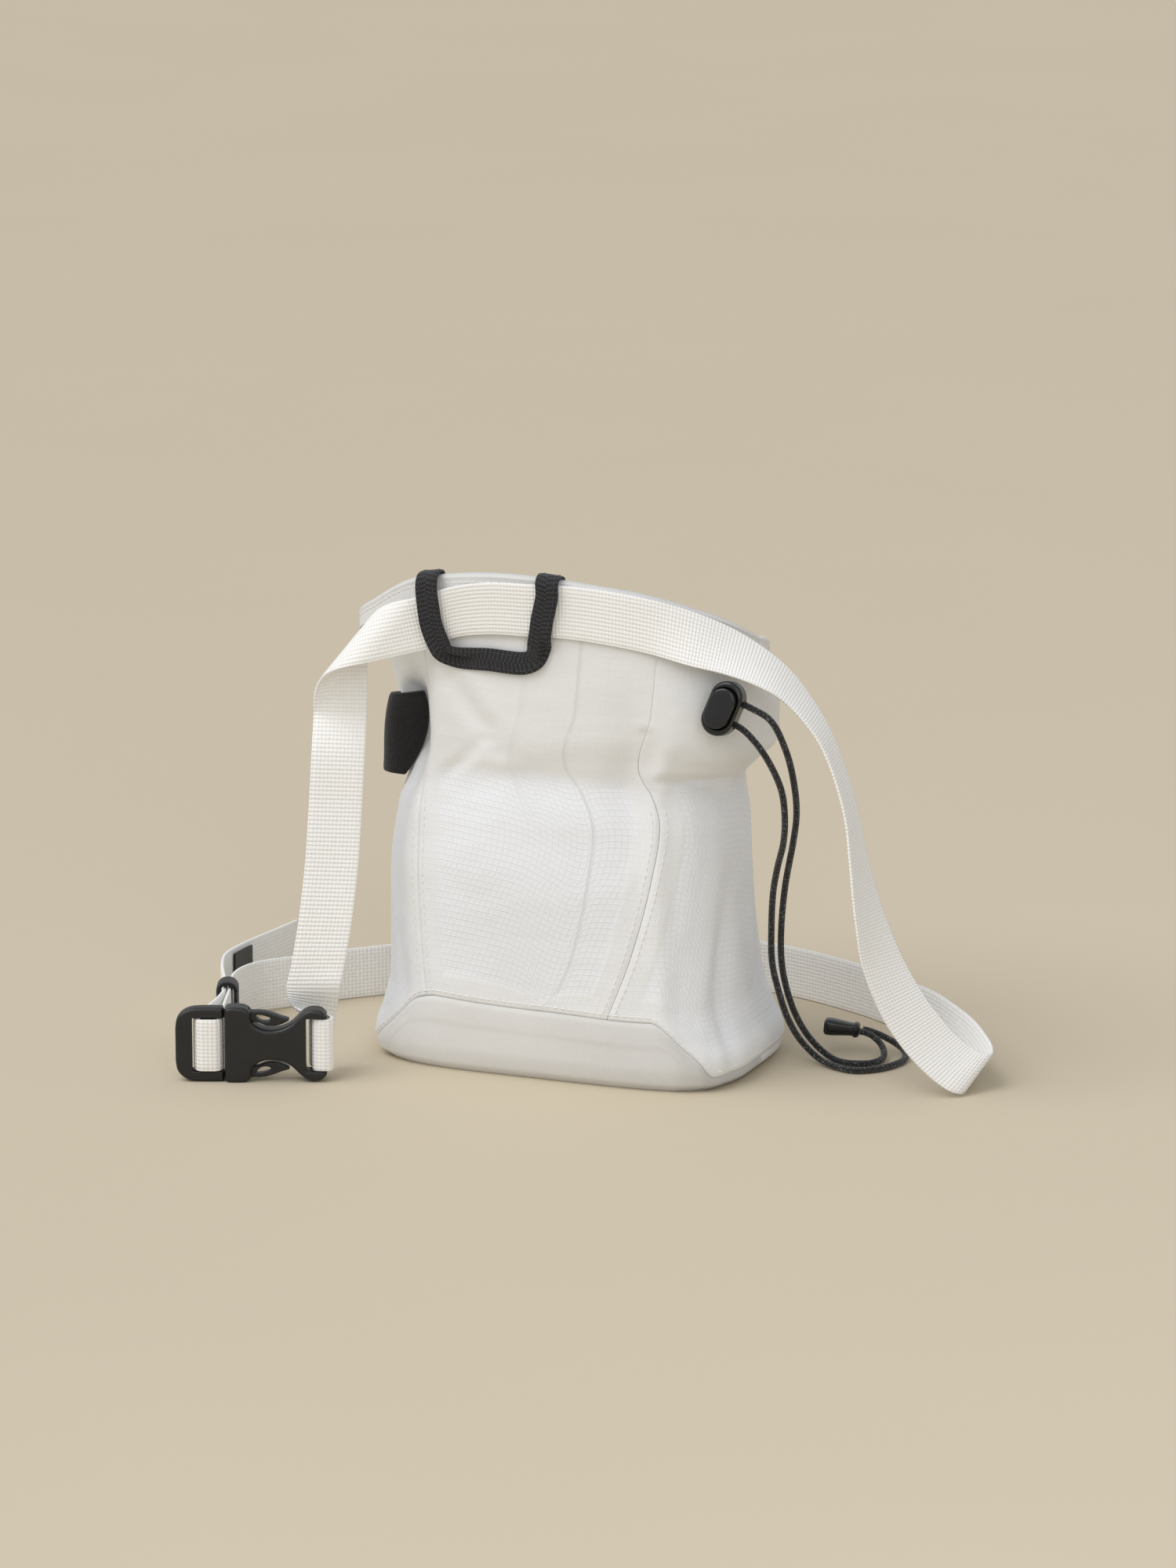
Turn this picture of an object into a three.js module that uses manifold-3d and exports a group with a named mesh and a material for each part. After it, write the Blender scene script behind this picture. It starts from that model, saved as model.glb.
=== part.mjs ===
// A climbing chalk bag standing on the floor with its waist belt fastened round it.
// Millimetres, +Z up. The origin is the middle of the bag's flat base, the belt loop faces -Y.
import * as THREE from 'three';
import { mergeVertices } from 'three/addons/utils/BufferGeometryUtils.js';
import Module from 'manifold-3d';

const wasm = await Module();
wasm.setup();

// Bag body
const BAG_WIDTH = 150;
const BAG_DEPTH = 92;
const NECK_HEIGHT = 113;
const RIM_HEIGHT = 194.5;
const CLOTH = 1.2;
const BASE_CLOTH = 1.6;
const SEAM_GAP = 0.45;
const FOLD_DEPTH = 10;
const CLEARANCE = 0.35;

// Rim hoop
const RIM_BAND_HEIGHT = 8;
const RIM_BAND_THICKNESS = 3;
const RIM_BAND_PROUD = (RIM_BAND_THICKNESS - CLOTH) / 2;

// Belt webbing and the tapes sewn to it
const BELT_WIDTH = 20;
const BELT_THICKNESS = 1.4;
const LOOP_TAPE_WIDTH = 8.6;
const LOOP_TAPE_THICKNESS = 1.2;
const LABEL_THICKNESS = 0.8;
const KEEPER_LENGTH = 10;
const KEEPER_WALL = 1.8;
const KEEPER_CORNER = 3;
const KEEPER_INNER_CORNER = 0.4;
const KEEPER_DROP = 0.6;

// Brush sleeve
const SLEEVE_RISE = 8;
const SLEEVE_EASE = 0.4;
const SLEEVE_BOW = 0.6;
const SLEEVE_THICKNESS = 1.8;

// Side-release buckle, standing on its long edge
const BUCKLE_LENGTH = 57;
const BUCKLE_HEIGHT = 28.8;
const BUCKLE_THICKNESS = 8.6;
const BUCKLE_HEADING = 22;
const BUCKLE_X = -99.6;
const BUCKLE_Y = -83.4;
const BUCKLE_WALL = 1.1;
const FRAME_THICKNESS = 6;
const SOCKET_BAR_WIDTH = 3.8;
const SOCKET_SLOT = 4.2;
const PLUG_BAR_INSET = 12.5;
const PLUG_BAR_WIDTH = 6.4;
const PLUG_WINDOW = 13;
const PLUG_EDGE = 6.2;
const BAR_THICKNESS = 2.8;
const BAR_ROOT = 1;
const BUCKLE_BEVEL = 0.9;

// Cord lock, drawcord and its end piece
const LOCK_LENGTH = 21;
const LOCK_WIDTH = 12.5;
const LOCK_THICKNESS = 11;
const LOCK_TRAVEL = 2;
const BUTTON_LENGTH = 15.5;
const BUTTON_WIDTH = 9.6;
const BUTTON_PROUD = 3.2;
const CORD_LEVEL = 2.4;
const LOCK_BEVEL = 0.9;
const BUTTON_BEVEL = 0.7;
const BORE_SIDES = 10;
const CORD_DIAMETER = 2.5;
const CORD_SPACING = 8.4;
const CORD_END_LENGTH = 13.6;
const CORD_END_WIDTH = 7;

const HALF_WIDTH = BAG_WIDTH / 2;
const HALF_DEPTH = BAG_DEPTH / 2;
const DEGREE = Math.PI / 180;

// Sections of the bag. level 0 is the floor, 1 the neck, 2 the rim. left and right are shares of the
// half width, front and back shares of the half depth, square is the superellipse exponent.
const SECTIONS = [
  { level: 0.00, left: 0.930, right: 0.930, front: 0.890, back: 0.930, square: 4.4 },
  { level: 0.03, left: 0.985, right: 0.980, front: 0.950, back: 1.000, square: 4.4 },
  { level: 0.09, left: 1.000, right: 0.995, front: 0.980, back: 1.030, square: 4.3 },
  { level: 0.18, left: 0.965, right: 0.950, front: 0.985, back: 1.030, square: 4.0 },
  { level: 0.28, left: 0.935, right: 0.910, front: 0.975, back: 1.010, square: 3.7 },
  { level: 0.45, left: 0.945, right: 0.900, front: 0.970, back: 0.980, square: 3.3 },
  { level: 0.66, left: 0.955, right: 0.895, front: 0.975, back: 0.950, square: 3.0 },
  { level: 0.86, left: 0.925, right: 0.885, front: 0.950, back: 0.915, square: 2.8 },
  { level: 1.00, left: 0.870, right: 0.860, front: 0.915, back: 0.890, square: 2.6 },
  { level: 1.12, left: 0.880, right: 0.930, front: 0.945, back: 0.905, square: 2.4 },
  { level: 1.28, left: 0.925, right: 1.030, front: 0.985, back: 0.950, square: 2.3 },
  { level: 1.50, left: 0.955, right: 1.035, front: 1.000, back: 1.000, square: 2.3 },
  { level: 1.70, left: 1.000, right: 1.025, front: 1.005, back: 1.050, square: 2.3 },
  { level: 1.88, left: 1.120, right: 0.985, front: 1.020, back: 1.120, square: 2.2 },
  { level: 2.00, left: 1.200, right: 0.905, front: 1.030, back: 1.180, square: 2.1 },
];

// Height of the rim round the bag as a share of RIM_HEIGHT, by turn in degrees from +X
const RIM_LINE = [
  { turn: 0, up: 0.865 },
  { turn: 45, up: 0.805 },
  { turn: 90, up: 0.770 },
  { turn: 135, up: 0.795 },
  { turn: 180, up: 0.845 },
  { turn: 215, up: 0.905 },
  { turn: 245, up: 0.980 },
  { turn: 270, up: 1.000 },
  { turn: 300, up: 0.980 },
  { turn: 330, up: 0.930 },
  { turn: 360, up: 0.865 },
];

// Dents (-) and bulges (+) of the soft walls, lift as a share of FOLD_DEPTH. lean is how far the
// fold's middle wanders, in degrees of turn for one level.
const FOLDS = [
  { turn: 214, level: 1.30, wide: 13, tall: 0.30, lean: 10, lift: -1.05 },
  { turn: 233, level: 1.18, wide: 8, tall: 0.40, lean: 6, lift: 0.30 },
  { turn: 262, level: 0.62, wide: 24, tall: 0.40, lean: 0, lift: 0.22 },
  { turn: 296, level: 1.10, wide: 7, tall: 0.30, lean: -8, lift: -0.30 },
  { turn: 306, level: 0.70, wide: 6, tall: 0.55, lean: 4, lift: 0.18 },
  { turn: 322, level: 1.36, wide: 18, tall: 0.26, lean: 0, lift: 0.30 },
  { turn: 345, level: 0.35, wide: 9, tall: 0.30, lean: 14, lift: -0.35 },
  { turn: 20, level: 0.70, wide: 16, tall: 0.45, lean: 8, lift: -0.22 },
  { turn: 75, level: 1.05, wide: 11, tall: 0.35, lean: -9, lift: -0.50 },
  { turn: 118, level: 1.00, wide: 10, tall: 0.40, lean: 7, lift: -0.45 },
  { turn: 96, level: 0.50, wide: 26, tall: 0.40, lean: 0, lift: 0.25 },
  { turn: 165, level: 0.75, wide: 14, tall: 0.50, lean: -6, lift: -0.25 },
];

// Seams between the front panel and the panel round the sides and back, as shares of HALF_WIDTH
const SEAMS = [
  { level: 0.24, left: -0.595, right: 0.387 },
  { level: 0.45, left: -0.635, right: 0.500 },
  { level: 0.70, left: -0.655, right: 0.590 },
  { level: 0.88, left: -0.650, right: 0.622 },
  { level: 1.12, left: -0.640, right: 0.520 },
  { level: 1.40, left: -0.620, right: 0.596 },
  { level: 2.00, left: -0.660, right: 0.640 },
];

// Top edge of the base panel by turn; it wraps high up the front and low round the other sides
const BASE_EDGE = [
  { turn: 0, level: 0.055 },
  { turn: 180, level: 0.055 },
  { turn: 206, level: 0.060 },
  { turn: 224, level: 0.120 },
  { turn: 241, level: 0.240 },
  { turn: 250, level: 0.255 },
  { turn: 290, level: 0.235 },
  { turn: 297, level: 0.235 },
  { turn: 312, level: 0.130 },
  { turn: 326, level: 0.050 },
  { turn: 360, level: 0.055 },
];

// Interpolates one column of a table smoothly by another
function column(rows, by, key, at) {
  const last = rows.length - 1;
  if (at <= rows[0][by]) return rows[0][key];
  if (at >= rows[last][by]) return rows[last][key];
  let i = 0;
  while (rows[i + 1][by] < at) i += 1;
  const slope = (a, b) => (rows[b][key] - rows[a][key]) / (rows[b][by] - rows[a][by]);
  const span = rows[i + 1][by] - rows[i][by];
  const here = slope(i, i + 1);
  const before = i > 0 ? slope(i - 1, i) : here;
  const after = i + 1 < last ? slope(i + 1, i + 2) : here;
  const start = before * here > 0 ? (2 * before * here) / (before + here) : 0;
  const end = after * here > 0 ? (2 * after * here) / (after + here) : 0;
  const t = (at - rows[i][by]) / span;
  const a = rows[i][key];
  const b = rows[i + 1][key];
  return a + (b - a) * t * t * (3 - 2 * t) + span * t * (1 - t) * (start * (1 - t) - end * t);
}

function wrapTurn(turn) {
  return ((turn % 360) + 360) % 360;
}

function rimHeight(turn) {
  return RIM_HEIGHT * column(RIM_LINE, 'turn', 'up', wrapTurn(turn));
}

function levelHeight(turn, level) {
  if (level <= 1) return NECK_HEIGHT * level;
  return NECK_HEIGHT + (rimHeight(turn) - NECK_HEIGHT) * (level - 1);
}

function foldLift(turn, level) {
  let lift = 0;
  for (const fold of FOLDS) {
    const middle = fold.turn + fold.lean * (level - fold.level);
    const round = wrapTurn(turn - middle + 180) - 180;
    const rise = (level - fold.level) / fold.tall;
    lift += fold.lift * Math.exp(-((round / fold.wide) ** 2) - rise ** 2);
  }
  return lift * FOLD_DEPTH;
}

// The size of the section at a level, and the outward power curve through it
function section(level) {
  const right = HALF_WIDTH * column(SECTIONS, 'level', 'right', level);
  const left = HALF_WIDTH * column(SECTIONS, 'level', 'left', level);
  const back = HALF_DEPTH * column(SECTIONS, 'level', 'back', level);
  const front = HALF_DEPTH * column(SECTIONS, 'level', 'front', level);
  const square = column(SECTIONS, 'level', 'square', level);
  return { half: (left + right) / 2, middle: (right - left) / 2, back, front, square };
}

// A point of the bag's outer cloth, moved outward by a distance
function shell(turn, level, outward = 0) {
  const { half, middle, back, front, square } = section(level);
  const cos = Math.cos(turn * DEGREE);
  const sin = Math.sin(turn * DEGREE);
  const reach = sin < 0 ? front : back;
  const power = 2 / square;
  const x = half * Math.sign(cos) * Math.abs(cos) ** power;
  const y = reach * Math.sign(sin) * Math.abs(sin) ** power;
  const normalX = (Math.sign(cos) * Math.abs(x / half) ** (square - 1)) / half;
  const normalY = (Math.sign(sin) * Math.abs(y / reach) ** (square - 1)) / reach;
  const length = Math.hypot(normalX, normalY);
  const move = outward + foldLift(turn, level);
  return new THREE.Vector3(
    middle + x + (move * normalX) / length,
    y + (move * normalY) / length,
    levelHeight(turn, level),
  );
}

// The turn at which the front of a section has a given x
function frontTurn(x, level) {
  const { half, middle, square } = section(level);
  const share = THREE.MathUtils.clamp((x - middle) / half, -0.999, 0.999);
  const cos = Math.sign(share) * Math.abs(share) ** (square / 2);
  return 360 - Math.acos(cos) / DEGREE;
}

// The level and y of the front cloth at a given x and height
function frontAt(x, z, outward = 0) {
  let level = z / NECK_HEIGHT;
  let turn = frontTurn(x, level);
  for (let i = 0; i < 12; i += 1) {
    if (z > NECK_HEIGHT) level = 1 + (z - NECK_HEIGHT) / (rimHeight(turn) - NECK_HEIGHT);
    level = Math.min(level, 2);
    turn = frontTurn(x, level);
    const miss = x - shell(turn, level, outward).x;
    turn = frontTurn(x + miss, level);
  }
  return { turn, level, y: shell(turn, level, outward).y };
}

// Seam gap shifts the edge of a panel sideways
function seamTurn(side, level, shift = 0) {
  const x = HALF_WIDTH * column(SEAMS, 'level', side, Math.max(level, SEAMS[0].level)) + shift;
  return frontTurn(x, level);
}

function baseEdge(turn) {
  return column(BASE_EDGE, 'turn', 'level', wrapTurn(turn));
}

// A closed body from a grid of outer points and the matching grid of inner points
function slab(outer, inner) {
  const rows = outer.length;
  const columns = outer[0].length;
  const position = [];
  for (const grid of [outer, inner]) {
    for (const row of grid) {
      for (const p of row) position.push(p.x, p.y, p.z);
    }
  }
  const at = (side, i, j) => side * rows * columns + i * columns + j;
  const index = [];
  const quad = (a, b, c, d) => index.push(a, b, c, a, c, d);
  for (let i = 0; i + 1 < rows; i += 1) {
    for (let j = 0; j + 1 < columns; j += 1) {
      quad(at(0, i, j), at(0, i, j + 1), at(0, i + 1, j + 1), at(0, i + 1, j));
      quad(at(1, i, j), at(1, i + 1, j), at(1, i + 1, j + 1), at(1, i, j + 1));
    }
    const end = columns - 1;
    quad(at(1, i, 0), at(0, i, 0), at(0, i + 1, 0), at(1, i + 1, 0));
    quad(at(0, i, end), at(1, i, end), at(1, i + 1, end), at(0, i + 1, end));
  }
  for (let j = 0; j + 1 < columns; j += 1) {
    const top = rows - 1;
    quad(at(1, 0, j), at(1, 0, j + 1), at(0, 0, j + 1), at(0, 0, j));
    quad(at(0, top, j), at(0, top, j + 1), at(1, top, j + 1), at(1, top, j));
  }
  const geometry = new THREE.BufferGeometry();
  geometry.setAttribute('position', new THREE.Float32BufferAttribute(position, 3));
  geometry.setIndex(index);
  return geometry;
}

function toSolid(geometry) {
  const bare = geometry.clone();
  bare.deleteAttribute('normal');
  bare.deleteAttribute('uv');
  const merged = mergeVertices(bare, 1e-4);
  return new wasm.Manifold(new wasm.Mesh({
    numProp: 3,
    vertProperties: Float32Array.from(merged.attributes.position.array),
    triVerts: Uint32Array.from(merged.index.array),
  }));
}

function toGeometry(solid) {
  const mesh = solid.getMesh();
  const geometry = new THREE.BufferGeometry();
  const places = Float32Array.from(mesh.vertProperties);
  geometry.setAttribute('position', new THREE.BufferAttribute(places, 3));
  geometry.setIndex(new THREE.BufferAttribute(Uint32Array.from(mesh.triVerts), 1));
  return geometry;
}

const PANEL_ROWS = 13;
const FRONT_COLUMNS = 12;
const WRAP_COLUMNS = 34;

// Height that the cloth leaves free for the rim hoop, as a level
function clothTop(turn) {
  const free = RIM_BAND_HEIGHT + 2 * CLEARANCE;
  return 2 - free / (rimHeight(turn) - NECK_HEIGHT);
}

// A wall panel between two seams, from the base panel's edge to the rim hoop
function wallPanel(columns, startSeam, endSeam) {
  const half = (SEAM_GAP / 2) / NECK_HEIGHT;
  const grids = [0, -CLOTH].map((outward) => {
    const rows = [];
    for (let i = 0; i <= PANEL_ROWS; i += 1) {
      const row = [];
      for (let j = 0; j <= columns; j += 1) {
        const share = j / columns;
        const lowest = SEAMS[0].level;
        const foot = startSeam(lowest) + (endSeam(lowest) - startSeam(lowest)) * share;
        const head = startSeam(2) + (endSeam(2) - startSeam(2)) * share;
        const bottom = baseEdge(foot) + half;
        const top = clothTop(head);
        const level = bottom + ((top - bottom) * i) / PANEL_ROWS;
        const start = startSeam(Math.max(level, lowest));
        const turn = start + (endSeam(Math.max(level, lowest)) - start) * share;
        row.push(shell(turn, level, outward));
      }
      rows.push(row);
    }
    return rows;
  });
  return slab(grids[0], grids[1]);
}

function frontPanel() {
  const left = (level) => seamTurn('left', level, SEAM_GAP / 2);
  const right = (level) => seamTurn('right', level, -SEAM_GAP / 2);
  return wallPanel(FRONT_COLUMNS, left, right);
}

function wrapPanel() {
  const right = (level) => seamTurn('right', level, SEAM_GAP / 2);
  const left = (level) => seamTurn('left', level, -SEAM_GAP / 2) + 360;
  return wallPanel(WRAP_COLUMNS, right, left);
}

// The base panel is a shallow tray whose front wall stands higher
function basePanel() {
  const lowest = SEAMS[0].level;
  const left = seamTurn('left', lowest);
  const right = seamTurn('right', lowest);
  const turns = [];
  for (let j = 0; j < FRONT_COLUMNS; j += 1) turns.push(left + ((right - left) * j) / FRONT_COLUMNS);
  const round = left + 360 - right;
  for (let j = 0; j < WRAP_COLUMNS; j += 1) turns.push(right + (round * j) / WRAP_COLUMNS);
  const half = (SEAM_GAP / 2) / NECK_HEIGHT;
  const wallRows = [0, 0.06, 0.2, 0.45, 0.72, 1];
  const floorShare = 0.7;
  const rings = [];
  const floorPoint = (turn, share, z) => {
    const edge = shell(turn, 0);
    return new THREE.Vector3(edge.x * share, edge.y * share, z);
  };
  rings.push(turns.map((turn) => floorPoint(turn, floorShare, 0)));
  for (const share of wallRows) {
    rings.push(turns.map((turn) => shell(turn, (baseEdge(turn) - half) * share)));
  }
  const inside = wallRows.slice(1).reverse();
  for (const share of inside) {
    rings.push(turns.map((turn) => {
      const p = shell(turn, (baseEdge(turn) - half) * share, -BASE_CLOTH);
      p.z = Math.max(p.z, BASE_CLOTH + share * CLOTH);
      return p;
    }));
  }
  rings.push(turns.map((turn) => floorPoint(turn, floorShare, BASE_CLOTH)));
  const count = turns.length;
  const position = [];
  for (const ring of rings) for (const p of ring) position.push(p.x, p.y, p.z);
  const index = [];
  for (let i = 0; i + 1 < rings.length; i += 1) {
    for (let j = 0; j < count; j += 1) {
      const next = (j + 1) % count;
      const a = i * count + j;
      const b = i * count + next;
      const c = (i + 1) * count + next;
      const d = (i + 1) * count + j;
      index.push(a, b, c, a, c, d);
    }
  }
  const bottomCentre = position.length / 3;
  position.push(0, 0, 0, 0, 0, BASE_CLOTH);
  for (let j = 0; j < count; j += 1) {
    const next = (j + 1) % count;
    const top = (rings.length - 1) * count;
    index.push(bottomCentre, next, j);
    index.push(bottomCentre + 1, top + j, top + next);
  }
  const geometry = new THREE.BufferGeometry();
  geometry.setAttribute('position', new THREE.Float32BufferAttribute(position, 3));
  geometry.setIndex(index);
  return geometry;
}

// The rim hoop: a rounded band that follows the tilted rim
function rimBand() {
  const count = 48;
  const half = RIM_BAND_THICKNESS / 2;
  const profile = [];
  for (let k = 0; k <= 4; k += 1) {
    const angle = Math.PI * (k / 4);
    profile.push({ out: half * Math.cos(angle), up: RIM_BAND_HEIGHT - half + half * Math.sin(angle) });
  }
  profile.push({ out: -half, up: 0 }, { out: half, up: 0 });
  const position = [];
  for (let j = 0; j < count; j += 1) {
    const turn = (360 * j) / count;
    const level = 2 - (RIM_BAND_HEIGHT / 2) / (rimHeight(turn) - NECK_HEIGHT);
    for (const { out, up } of profile) {
      const p = shell(turn, level, out - CLOTH / 2);
      position.push(p.x, p.y, rimHeight(turn) - RIM_BAND_HEIGHT + up);
    }
  }
  const index = [];
  const sides = profile.length;
  for (let j = 0; j < count; j += 1) {
    const next = (j + 1) % count;
    for (let k = 0; k < sides; k += 1) {
      const after = (k + 1) % sides;
      const a = j * sides + k;
      const b = next * sides + k;
      const c = next * sides + after;
      const d = j * sides + after;
      index.push(a, b, c, a, c, d);
    }
  }
  const geometry = new THREE.BufferGeometry();
  geometry.setAttribute('position', new THREE.Float32BufferAttribute(position, 3));
  geometry.setIndex(index);
  return geometry;
}

const ACROSS = 3;
const BELT_STEP = 7;

// One line across a band: its middle and the direction from its lower to its upper edge
function crossLine(middle, across, width = BELT_WIDTH) {
  const line = [];
  for (let k = 0; k <= ACROSS; k += 1) {
    line.push(middle.clone().addScaledVector(across, width * (k / ACROSS - 0.5)));
  }
  return line;
}

function direction(heading, rise) {
  const flat = Math.cos(rise * DEGREE);
  return new THREE.Vector3(
    flat * Math.cos(heading * DEGREE),
    flat * Math.sin(heading * DEGREE),
    Math.sin(rise * DEGREE),
  );
}

const UP = new THREE.Vector3(0, 0, 1);
const DOWN = new THREE.Vector3(0, 0, -1);

function middleOf(line) {
  return line[0].clone().lerp(line[line.length - 1], 0.5);
}

// Passes smooth curves through matching points of the lines and steps along them
function smoothLines(lines, step) {
  const paths = lines[0].map((_, k) => lines.map((line) => line[k]));
  const curves = paths.map((path) => new THREE.CatmullRomCurve3(path, false, 'centripetal'));
  const result = [];
  for (let i = 0; i + 1 < lines.length; i += 1) {
    const span = middleOf(lines[i]).distanceTo(middleOf(lines[i + 1]));
    const count = Math.max(1, Math.round(span / step));
    for (let s = 0; s < count; s += 1) {
      const t = (i + s / count) / (lines.length - 1);
      result.push(curves.map((curve) => curve.getPoint(t)));
    }
  }
  result.push(lines[lines.length - 1].map((p) => p.clone()));
  return result;
}

// Unit normals of a grid of points, from its two directions
function gridNormals(lines) {
  return lines.map((line, i) => line.map((_, k) => {
    const before = lines[Math.max(i - 1, 0)][k];
    const after = lines[Math.min(i + 1, lines.length - 1)][k];
    const low = line[Math.max(k - 1, 0)];
    const high = line[Math.min(k + 1, line.length - 1)];
    const along = after.clone().sub(before);
    return along.cross(high.clone().sub(low)).normalize();
  }));
}

// A closed band of even thickness whose middle surface is the grid
function band(lines, thickness, offset = 0) {
  const normals = gridNormals(lines);
  const shifted = (by) => lines.map((line, i) => (
    line.map((p, k) => p.clone().addScaledVector(normals[i][k], by))
  ));
  return slab(shifted(offset - thickness / 2), shifted(offset + thickness / 2));
}

// A band rolled over an axis that crosses it at an angle. at is the point of its middle line where
// the axis crosses, and behind the side on which the band goes on.
function foldLines({ at, travel, across, angle, radius, behind, from, to, count }) {
  const cos = Math.cos(angle * DEGREE);
  const sin = Math.sin(angle * DEGREE);
  const axis = travel.clone().multiplyScalar(cos).addScaledVector(across, -sin);
  const ahead = travel.clone().multiplyScalar(sin).addScaledVector(across, cos);
  const start = (-Math.PI * radius) / 2;
  const lines = [];
  for (let i = 0; i <= count; i += 1) {
    const p = from + ((to - from) * i) / count;
    const line = [];
    for (let k = 0; k <= ACROSS; k += 1) {
      const q = BELT_WIDTH * (k / ACROSS - 0.5);
      const gone = p * sin + q * cos;
      const along = p * cos - q * sin;
      const rolled = THREE.MathUtils.clamp((gone - start) / radius, 0, Math.PI);
      const past = Math.max(gone - start - Math.PI * radius, 0);
      const reach = Math.min(gone, start) + radius * Math.sin(rolled) - past;
      const depth = radius * (1 - Math.cos(rolled));
      line.push(at.clone().addScaledVector(axis, along).addScaledVector(ahead, reach)
        .addScaledVector(behind, depth));
    }
    lines.push(line);
  }
  return lines;
}

// Buckle frame: x along the buckle to the right, y away from the viewer, z up from its middle
const buckleTurn = new THREE.Matrix4().makeRotationZ(BUCKLE_HEADING * DEGREE);
buckleTurn.setPosition(BUCKLE_X, BUCKLE_Y, BUCKLE_HEIGHT / 2);
const atBuckle = (x, y, z) => new THREE.Vector3(x, y, z).applyMatrix4(buckleTurn);
const awayFromViewer = direction(BUCKLE_HEADING + 90, 0);

// The sewn loop round the socket's bar, from its hidden end to the foot of the left drop: x and y
// in the buckle's frame from the bar's middle, in belt thicknesses
const SOCKET_LOOP = [
  { x: -3.3, y: 3.9 },
  { x: -2.6, y: 2.2 },
  { x: -2.25, y: 0.0 },
  { x: -2.0, y: -1.55 },
  { x: -0.3, y: -2.15 },
  { x: 1.9, y: -1.9 },
  { x: 2.6, y: -0.6 },
  { x: 2.5, y: 1.2 },
  { x: 1.4, y: 3.0 },
  { x: 0.0, y: 4.8 },
];

// The quarter turn behind the buckle: x, y, z in the buckle's frame from the socket's bar, as shares
// of BELT_WIDTH, and the direction across
const FOOT = [
  { x: -0.10, y: 0.64, z: 0.10, across: [0.35, 0.50, -0.78] },
  { x: -0.19, y: 0.62, z: 0.42, across: [0.80, 0.42, -0.42] },
];

// The left drop from the buckle up to the shoulder, as shares of HALF_WIDTH, HALF_DEPTH, RIM_HEIGHT
const LEFT_DROP = [
  { x: -1.085, y: -1.452, z: 0.172, heading: 22, rise: 0 },
  { x: -1.068, y: -1.425, z: 0.215, heading: 23, rise: 0 },
  { x: -1.046, y: -1.355, z: 0.296, heading: 25, rise: -2 },
  { x: -1.035, y: -1.245, z: 0.411, heading: 27, rise: -3 },
  { x: -1.038, y: -1.152, z: 0.517, heading: 28, rise: -3 },
  { x: -1.044, y: -1.063, z: 0.622, heading: 27, rise: -3 },
];

// The soft fold over the shoulder, where the drop becomes the run across the front
const SHOULDER = { x: -0.979, y: -1.254, z: 0.852 };
const SHOULDER_SLOPE = 13;
const SHOULDER_ANGLE = 38;
const SHOULDER_RADIUS = 8;
const SHOULDER_REACH = 31;

// The front run: x as a share of HALF_WIDTH, up is the belt's middle as a share of RIM_HEIGHT
const FRONT_RUN = [
  { x: -0.440, up: 0.914 },
  { x: -0.230, up: 0.931 },
  { x: 0.000, up: 0.934 },
  { x: 0.170, up: 0.935 },
  { x: 0.330, up: 0.930 },
];

// The right drop, the turn on the floor and the run behind the bag up to the keeper
const RIGHT_DROP = [
  { x: 0.590, y: -0.905, z: 0.914, heading: 92, rise: 85 },
  { x: 0.790, y: -0.800, z: 0.891, heading: 94, rise: 64 },
  { x: 0.960, y: -0.640, z: 0.862, heading: 96, rise: 42 },
  { x: 1.125, y: -0.490, z: 0.821, heading: 95, rise: 23 },
  { x: 1.228, y: -0.387, z: 0.781, heading: 96, rise: 12 },
  { x: 1.384, y: -0.330, z: 0.697, heading: 99, rise: 2 },
  { x: 1.507, y: -0.300, z: 0.567, heading: 98, rise: 0 },
  { x: 1.561, y: -0.305, z: 0.460, heading: 92, rise: 0 },
  { x: 1.589, y: -0.302, z: 0.401, heading: 86, rise: 0 },
  { x: 1.627, y: -0.289, z: 0.337, heading: 77, rise: 0 },
  { x: 1.681, y: -0.263, z: 0.263, heading: 64, rise: 2 },
  { x: 1.781, y: -0.209, z: 0.176, heading: 57, rise: 15 },
  { x: 1.852, y: -0.165, z: 0.132, heading: 56, rise: 21 },
  { x: 1.932, y: -0.118, z: 0.092, heading: 57, rise: 25 },
  { x: 2.017, y: -0.067, z: 0.060, heading: 59, rise: 30 },
  { x: 2.084, y: -0.020, z: 0.043, heading: 61, rise: 36 },
  { x: 2.118, y: 0.040, z: 0.039, heading: 61, rise: 40 },
  { x: 2.104, y: 0.163, z: 0.041, heading: 60, rise: 45 },
  { x: 2.024, y: 0.413, z: 0.044, heading: 55, rise: 53 },
  { x: 1.913, y: 0.707, z: 0.048, heading: 50, rise: 63 },
  { x: 1.760, y: 1.033, z: 0.051, heading: 48, rise: 73 },
  { x: 1.593, y: 1.337, z: 0.053, heading: 50, rise: 80 },
  { x: 1.333, y: 1.674, z: 0.053, heading: 60, rise: 87 },
  { x: 1.093, y: 1.924, z: 0.053, heading: 90, rise: 90 },
  { x: 0.600, y: 2.272, z: 0.053, heading: 90, rise: 90 },
  { x: 0.000, y: 2.370, z: 0.053, heading: 90, rise: 90 },
  { x: -0.600, y: 2.130, z: 0.053, heading: 90, rise: 90 },
  { x: -1.067, y: 1.543, z: 0.053, heading: 90, rise: 90 },
  { x: -1.360, y: 0.989, z: 0.053, heading: 90, rise: 90 },
  { x: -1.527, y: 0.717, z: 0.053, heading: 90, rise: 90 },
  { x: -1.713, y: 0.337, z: 0.054, heading: 90, rise: 90 },
  { x: -1.820, y: 0.065, z: 0.056, heading: 90, rise: 90 },
  { x: -1.833, y: -0.217, z: 0.061, heading: 90, rise: 90 },
  { x: -1.793, y: -0.543, z: 0.067, heading: 90, rise: 90 },
];

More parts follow.
